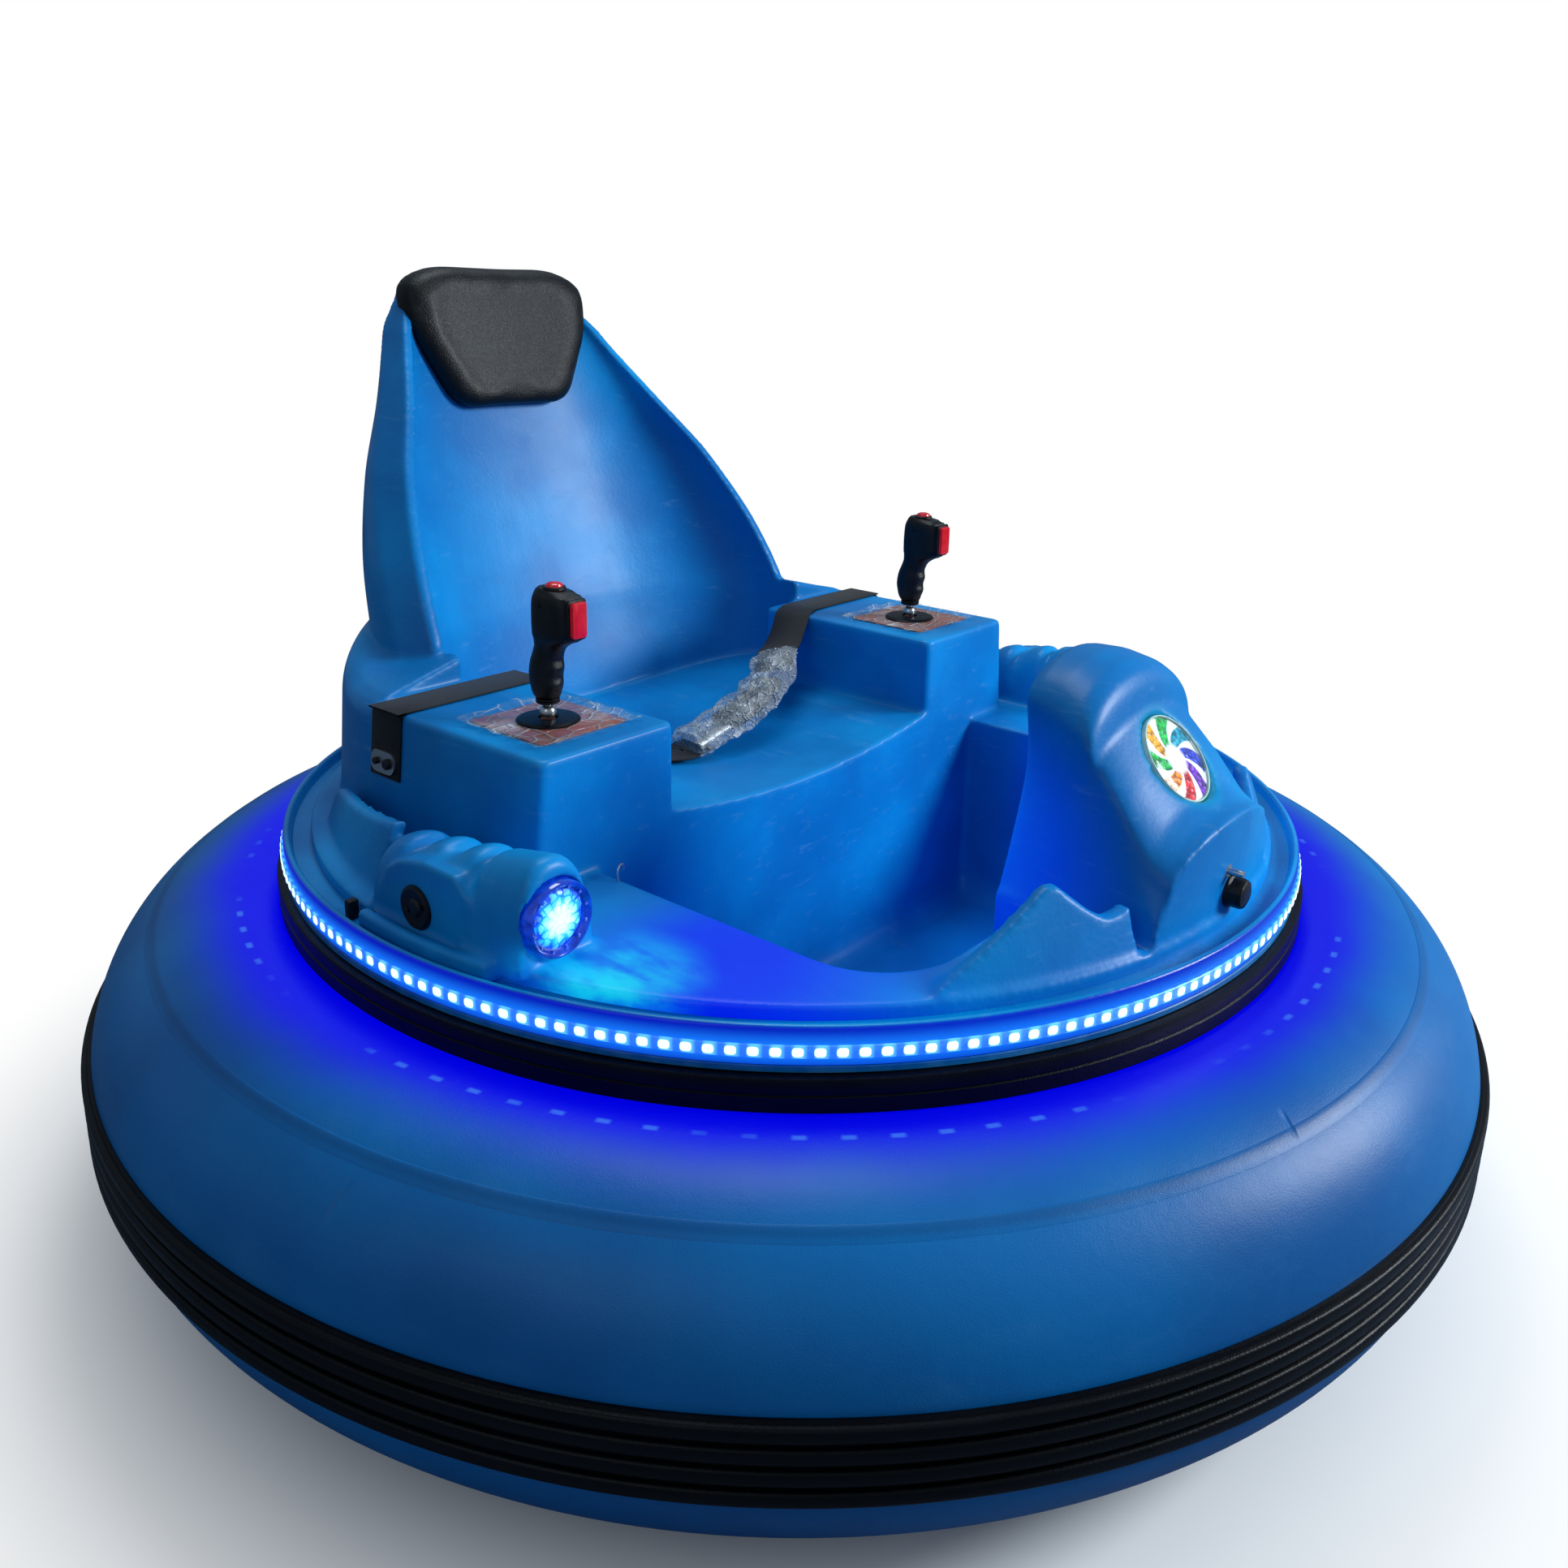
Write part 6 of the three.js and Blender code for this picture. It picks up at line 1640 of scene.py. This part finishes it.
battery_case = Finish("battery_case", {"Specular IOR Level": 0.4})
case_grain = battery_case.grain(150.0, 3.0)
battery_case.feed(base_color=battery_case.mix(case_grain, paint(16, 18, 20), paint(34, 36, 38)))
battery_case.feed(roughness=case_grain * 0.2 + 0.45)
battery_case.bump(case_grain, 0.0003)

# %% Driven wheels
WHEEL_R, WHEEL_HALF, WHEEL_X, AXLE_Y = 100, 25, 332, 95
TYRE_IN_R, AXLE_R, MOTOR_R, MOTOR_LONG, MOTOR_IN_X = 74, 10, 38, 150, 145


def on_axle(shape, x):
    """A shape made about +Z, laid along the axle with its origin at x."""
    points, faces = shape
    return points[:, (2, 0, 1)] + (x, AXLE_Y, WHEEL_R), faces


def tread_blocks():
    """Two rows of slanted blocks, half a pitch apart, round the tyre."""
    blocks = []
    for row in (-1, 1):
        for k in range(36):
            turn = 2 * math.pi * (k + 0.25 * row) / 36
            lug = block((WHEEL_R - 4, -4.6, -8.5), (WHEEL_R - 0.2, 4.6, 8.5), 1.2)
            points = lug[0] + (0, 0, row * 10.5)
            turns = turn + points[:, 1] / WHEEL_R + row * points[:, 2] * 0.004
            radius = points[:, 0]
            points = np.column_stack([radius * np.cos(turns), radius * np.sin(turns), points[:, 2]])
            blocks.append((points, lug[1]))
    return blocks


tyre_profile = [
    (TYRE_IN_R, -WHEEL_HALF), (84, -WHEEL_HALF), (86, -24.2), (91, -24.6), (94.5, -22.5), (96.4, -19),
    (96.6, -1), (95.2, 0), (96.6, 1), (96.4, 19), (94.5, 22.5), (91, 24.6), (86, 24.2), (84, WHEEL_HALF),
    (TYRE_IN_R, WHEEL_HALF),
]
hub_profile = [
    (AXLE_R + 0.4, -14), (22, -14), (24, -11), (52, -11), (60, -14), (65, -22), (68, -23), (73.6, -23),
    (73.6, 23), (68, 23), (65, 22), (60, 14), (52, 11), (24, 11), (22, 14), (AXLE_R + 0.4, 14),
]
motor_profile = [
    (0, 0), (30, 0), (36, 3), (MOTOR_R, 6), (MOTOR_R, 30), (36.6, 31), (36.6, 118), (MOTOR_R, 119),
    (MOTOR_R, MOTOR_LONG - 4), (34, MOTOR_LONG), (0, MOTOR_LONG),
]

for side_name, side in SIDES:
    wheel_body = f"drive_wheel_{side_name}"
    tyre = on_axle(merged(spun(tyre_profile, 96), *tread_blocks()), side * WHEEL_X)
    make(f"treaded_tyre_{side_name}", tyre, tyre_rubber, body=wheel_body, slot="tyre_rubber",
         replaces=[f"drive_tyre_{side_name}"])
    nuts = []
    for k in range(5):
        turn = 2 * math.pi * k / 5
        for face in (-1, 1):
            points, faces = bolt_head(11, 6)
            points = points * (1, 1, face) + (38 * math.cos(turn), 38 * math.sin(turn), face * 11)
            nuts.append((points, faces))
    hub = on_axle(merged(spun(hub_profile, 80), *nuts), side * WHEEL_X)
    make(f"cast_hub_{side_name}", hub, alloy, body=wheel_body, slot="hub_alloy",
         replaces=[f"drive_hub_{side_name}"])
    shaft_in, shaft_out = MOTOR_IN_X + MOTOR_LONG + 0.3, WHEEL_X + WHEEL_HALF - 10
    shaft = bar("x", AXLE_R, shaft_out - shaft_in, (side * (shaft_in + shaft_out) / 2, AXLE_Y, WHEEL_R), 40)
    cap_nut = bar("x", 7, 5, (side * (shaft_out + 2), AXLE_Y, WHEEL_R), 6, 0.8)
    make(f"turned_axle_{side_name}", merged(shaft, cap_nut), steel, body=wheel_body, slot="bright_steel",
         replaces=[f"drive_axle_{side_name}"])
    ribs = [spun([(36.2, at), (MOTOR_R, at), (MOTOR_R, at + 2.4), (36.2, at + 2.4)], 64)
            for at in range(34, 116, 6)]
    can = merged(spun(motor_profile, 64, closed=False), *ribs)
    can = moved(can, (0, 0, -MOTOR_LONG / 2))
    middle_x = side * (MOTOR_IN_X + MOTOR_LONG / 2)
    saddle = block((middle_x - 45, AXLE_Y - MOTOR_R - 12, WHEEL_R + 18),
                   (middle_x + 45, AXLE_Y + MOTOR_R + 12, 141.7), 4)
    make(f"geared_motor_{side_name}", merged(on_axle(can, middle_x), saddle), frame_steel, slot="frame_steel",
         replaces=[f"drive_motor_{side_name}"])

# %% Casters and chassis
CASTER_R, CASTER_TRAIL, PLATE_LOW_Z = 45, 32, 142
CASTER_YS = (("front", -270), ("rear", 330))
PLATE_BOLT_R, PLATE_BOLTS = 445, 24
ROLLER_ROWS = (
    (5.4, -14), (16, -14), (18, -12), (34, -12), (37, -15.4), (41, -15.8), (44, -13), (CASTER_R, -8),
    (CASTER_R, 8), (44, 13), (41, 15.8), (37, 15.4), (34, 12), (18, 12), (16, 14), (5.4, 14),
)


def dress(node, finish, bevel):
    """A CAD node that keeps its shape: broken edges and its finish."""
    part = frame["nodes"][node]
    part.data.materials.clear()
    part.data.materials.append(finish.material)
    if bevel:
        edge = part.modifiers.new("edges", "BEVEL")
        edge.width, edge.segments, edge.limit_method = bevel * MM, 2, "ANGLE"
        edge.angle_limit = math.radians(40)


for place, y in CASTER_YS:
    dress(f"caster_fork_{place}", steel, 0.8)
    points, faces = spun(ROLLER_ROWS, 72)
    points = points[:, (2, 0, 1)] + (0, y + CASTER_TRAIL, CASTER_R)
    make(f"roller_{place}", (points, faces), tyre_rubber, body=f"caster_roller_{place}", slot="tyre_rubber",
         replaces=[f"caster_wheel_{place}"])
    pins = [bar("x", 7.5, 4, (side * 27, y + CASTER_TRAIL, CASTER_R), 6, 0.8) for side in (-1, 1)]
    make(f"axle_nuts_{place}", merged(*pins), steel, body=f"caster_swivel_{place}", slot="bright_steel")
dress("chassis_plate", frame_steel, 0.8)
dress("battery_box", battery_case, 4)

heads = []
for k in range(PLATE_BOLTS):
    turn = 2 * math.pi * (k + 0.5) / PLATE_BOLTS
    heads.append((PLATE_BOLT_R * math.cos(turn), PLATE_BOLT_R * math.sin(turn)))
for x_sign in (-1, 1):
    heads += [(x_sign * x, y) for x in (170, 270) for y in (38, 152)]
for _, y in CASTER_YS:
    heads += [(x, y + shift) for x in (-42, 42) for shift in (-20, 20)]
bolts = []
for x, y in heads:
    points, faces = bolt_head(11, 6)
    bolts.append((points * (1, 1, -1) + (x, y, PLATE_LOW_Z), faces))
make("plate_bolts", merged(*bolts), steel, slot="bright_steel")

# %% [markdown]
# ## Close
# The sizes of the CAD model and of this one are set side by side, and this one's size is printed.

# %% Sizes
sizes = {"cad": [list(map(float, corner)) for corner in cad_box],
         "visual": [list(map(float, corner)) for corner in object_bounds()]}
print("size in metres:", [round(high - low, 4) for low, high in zip(*sizes["visual"])])
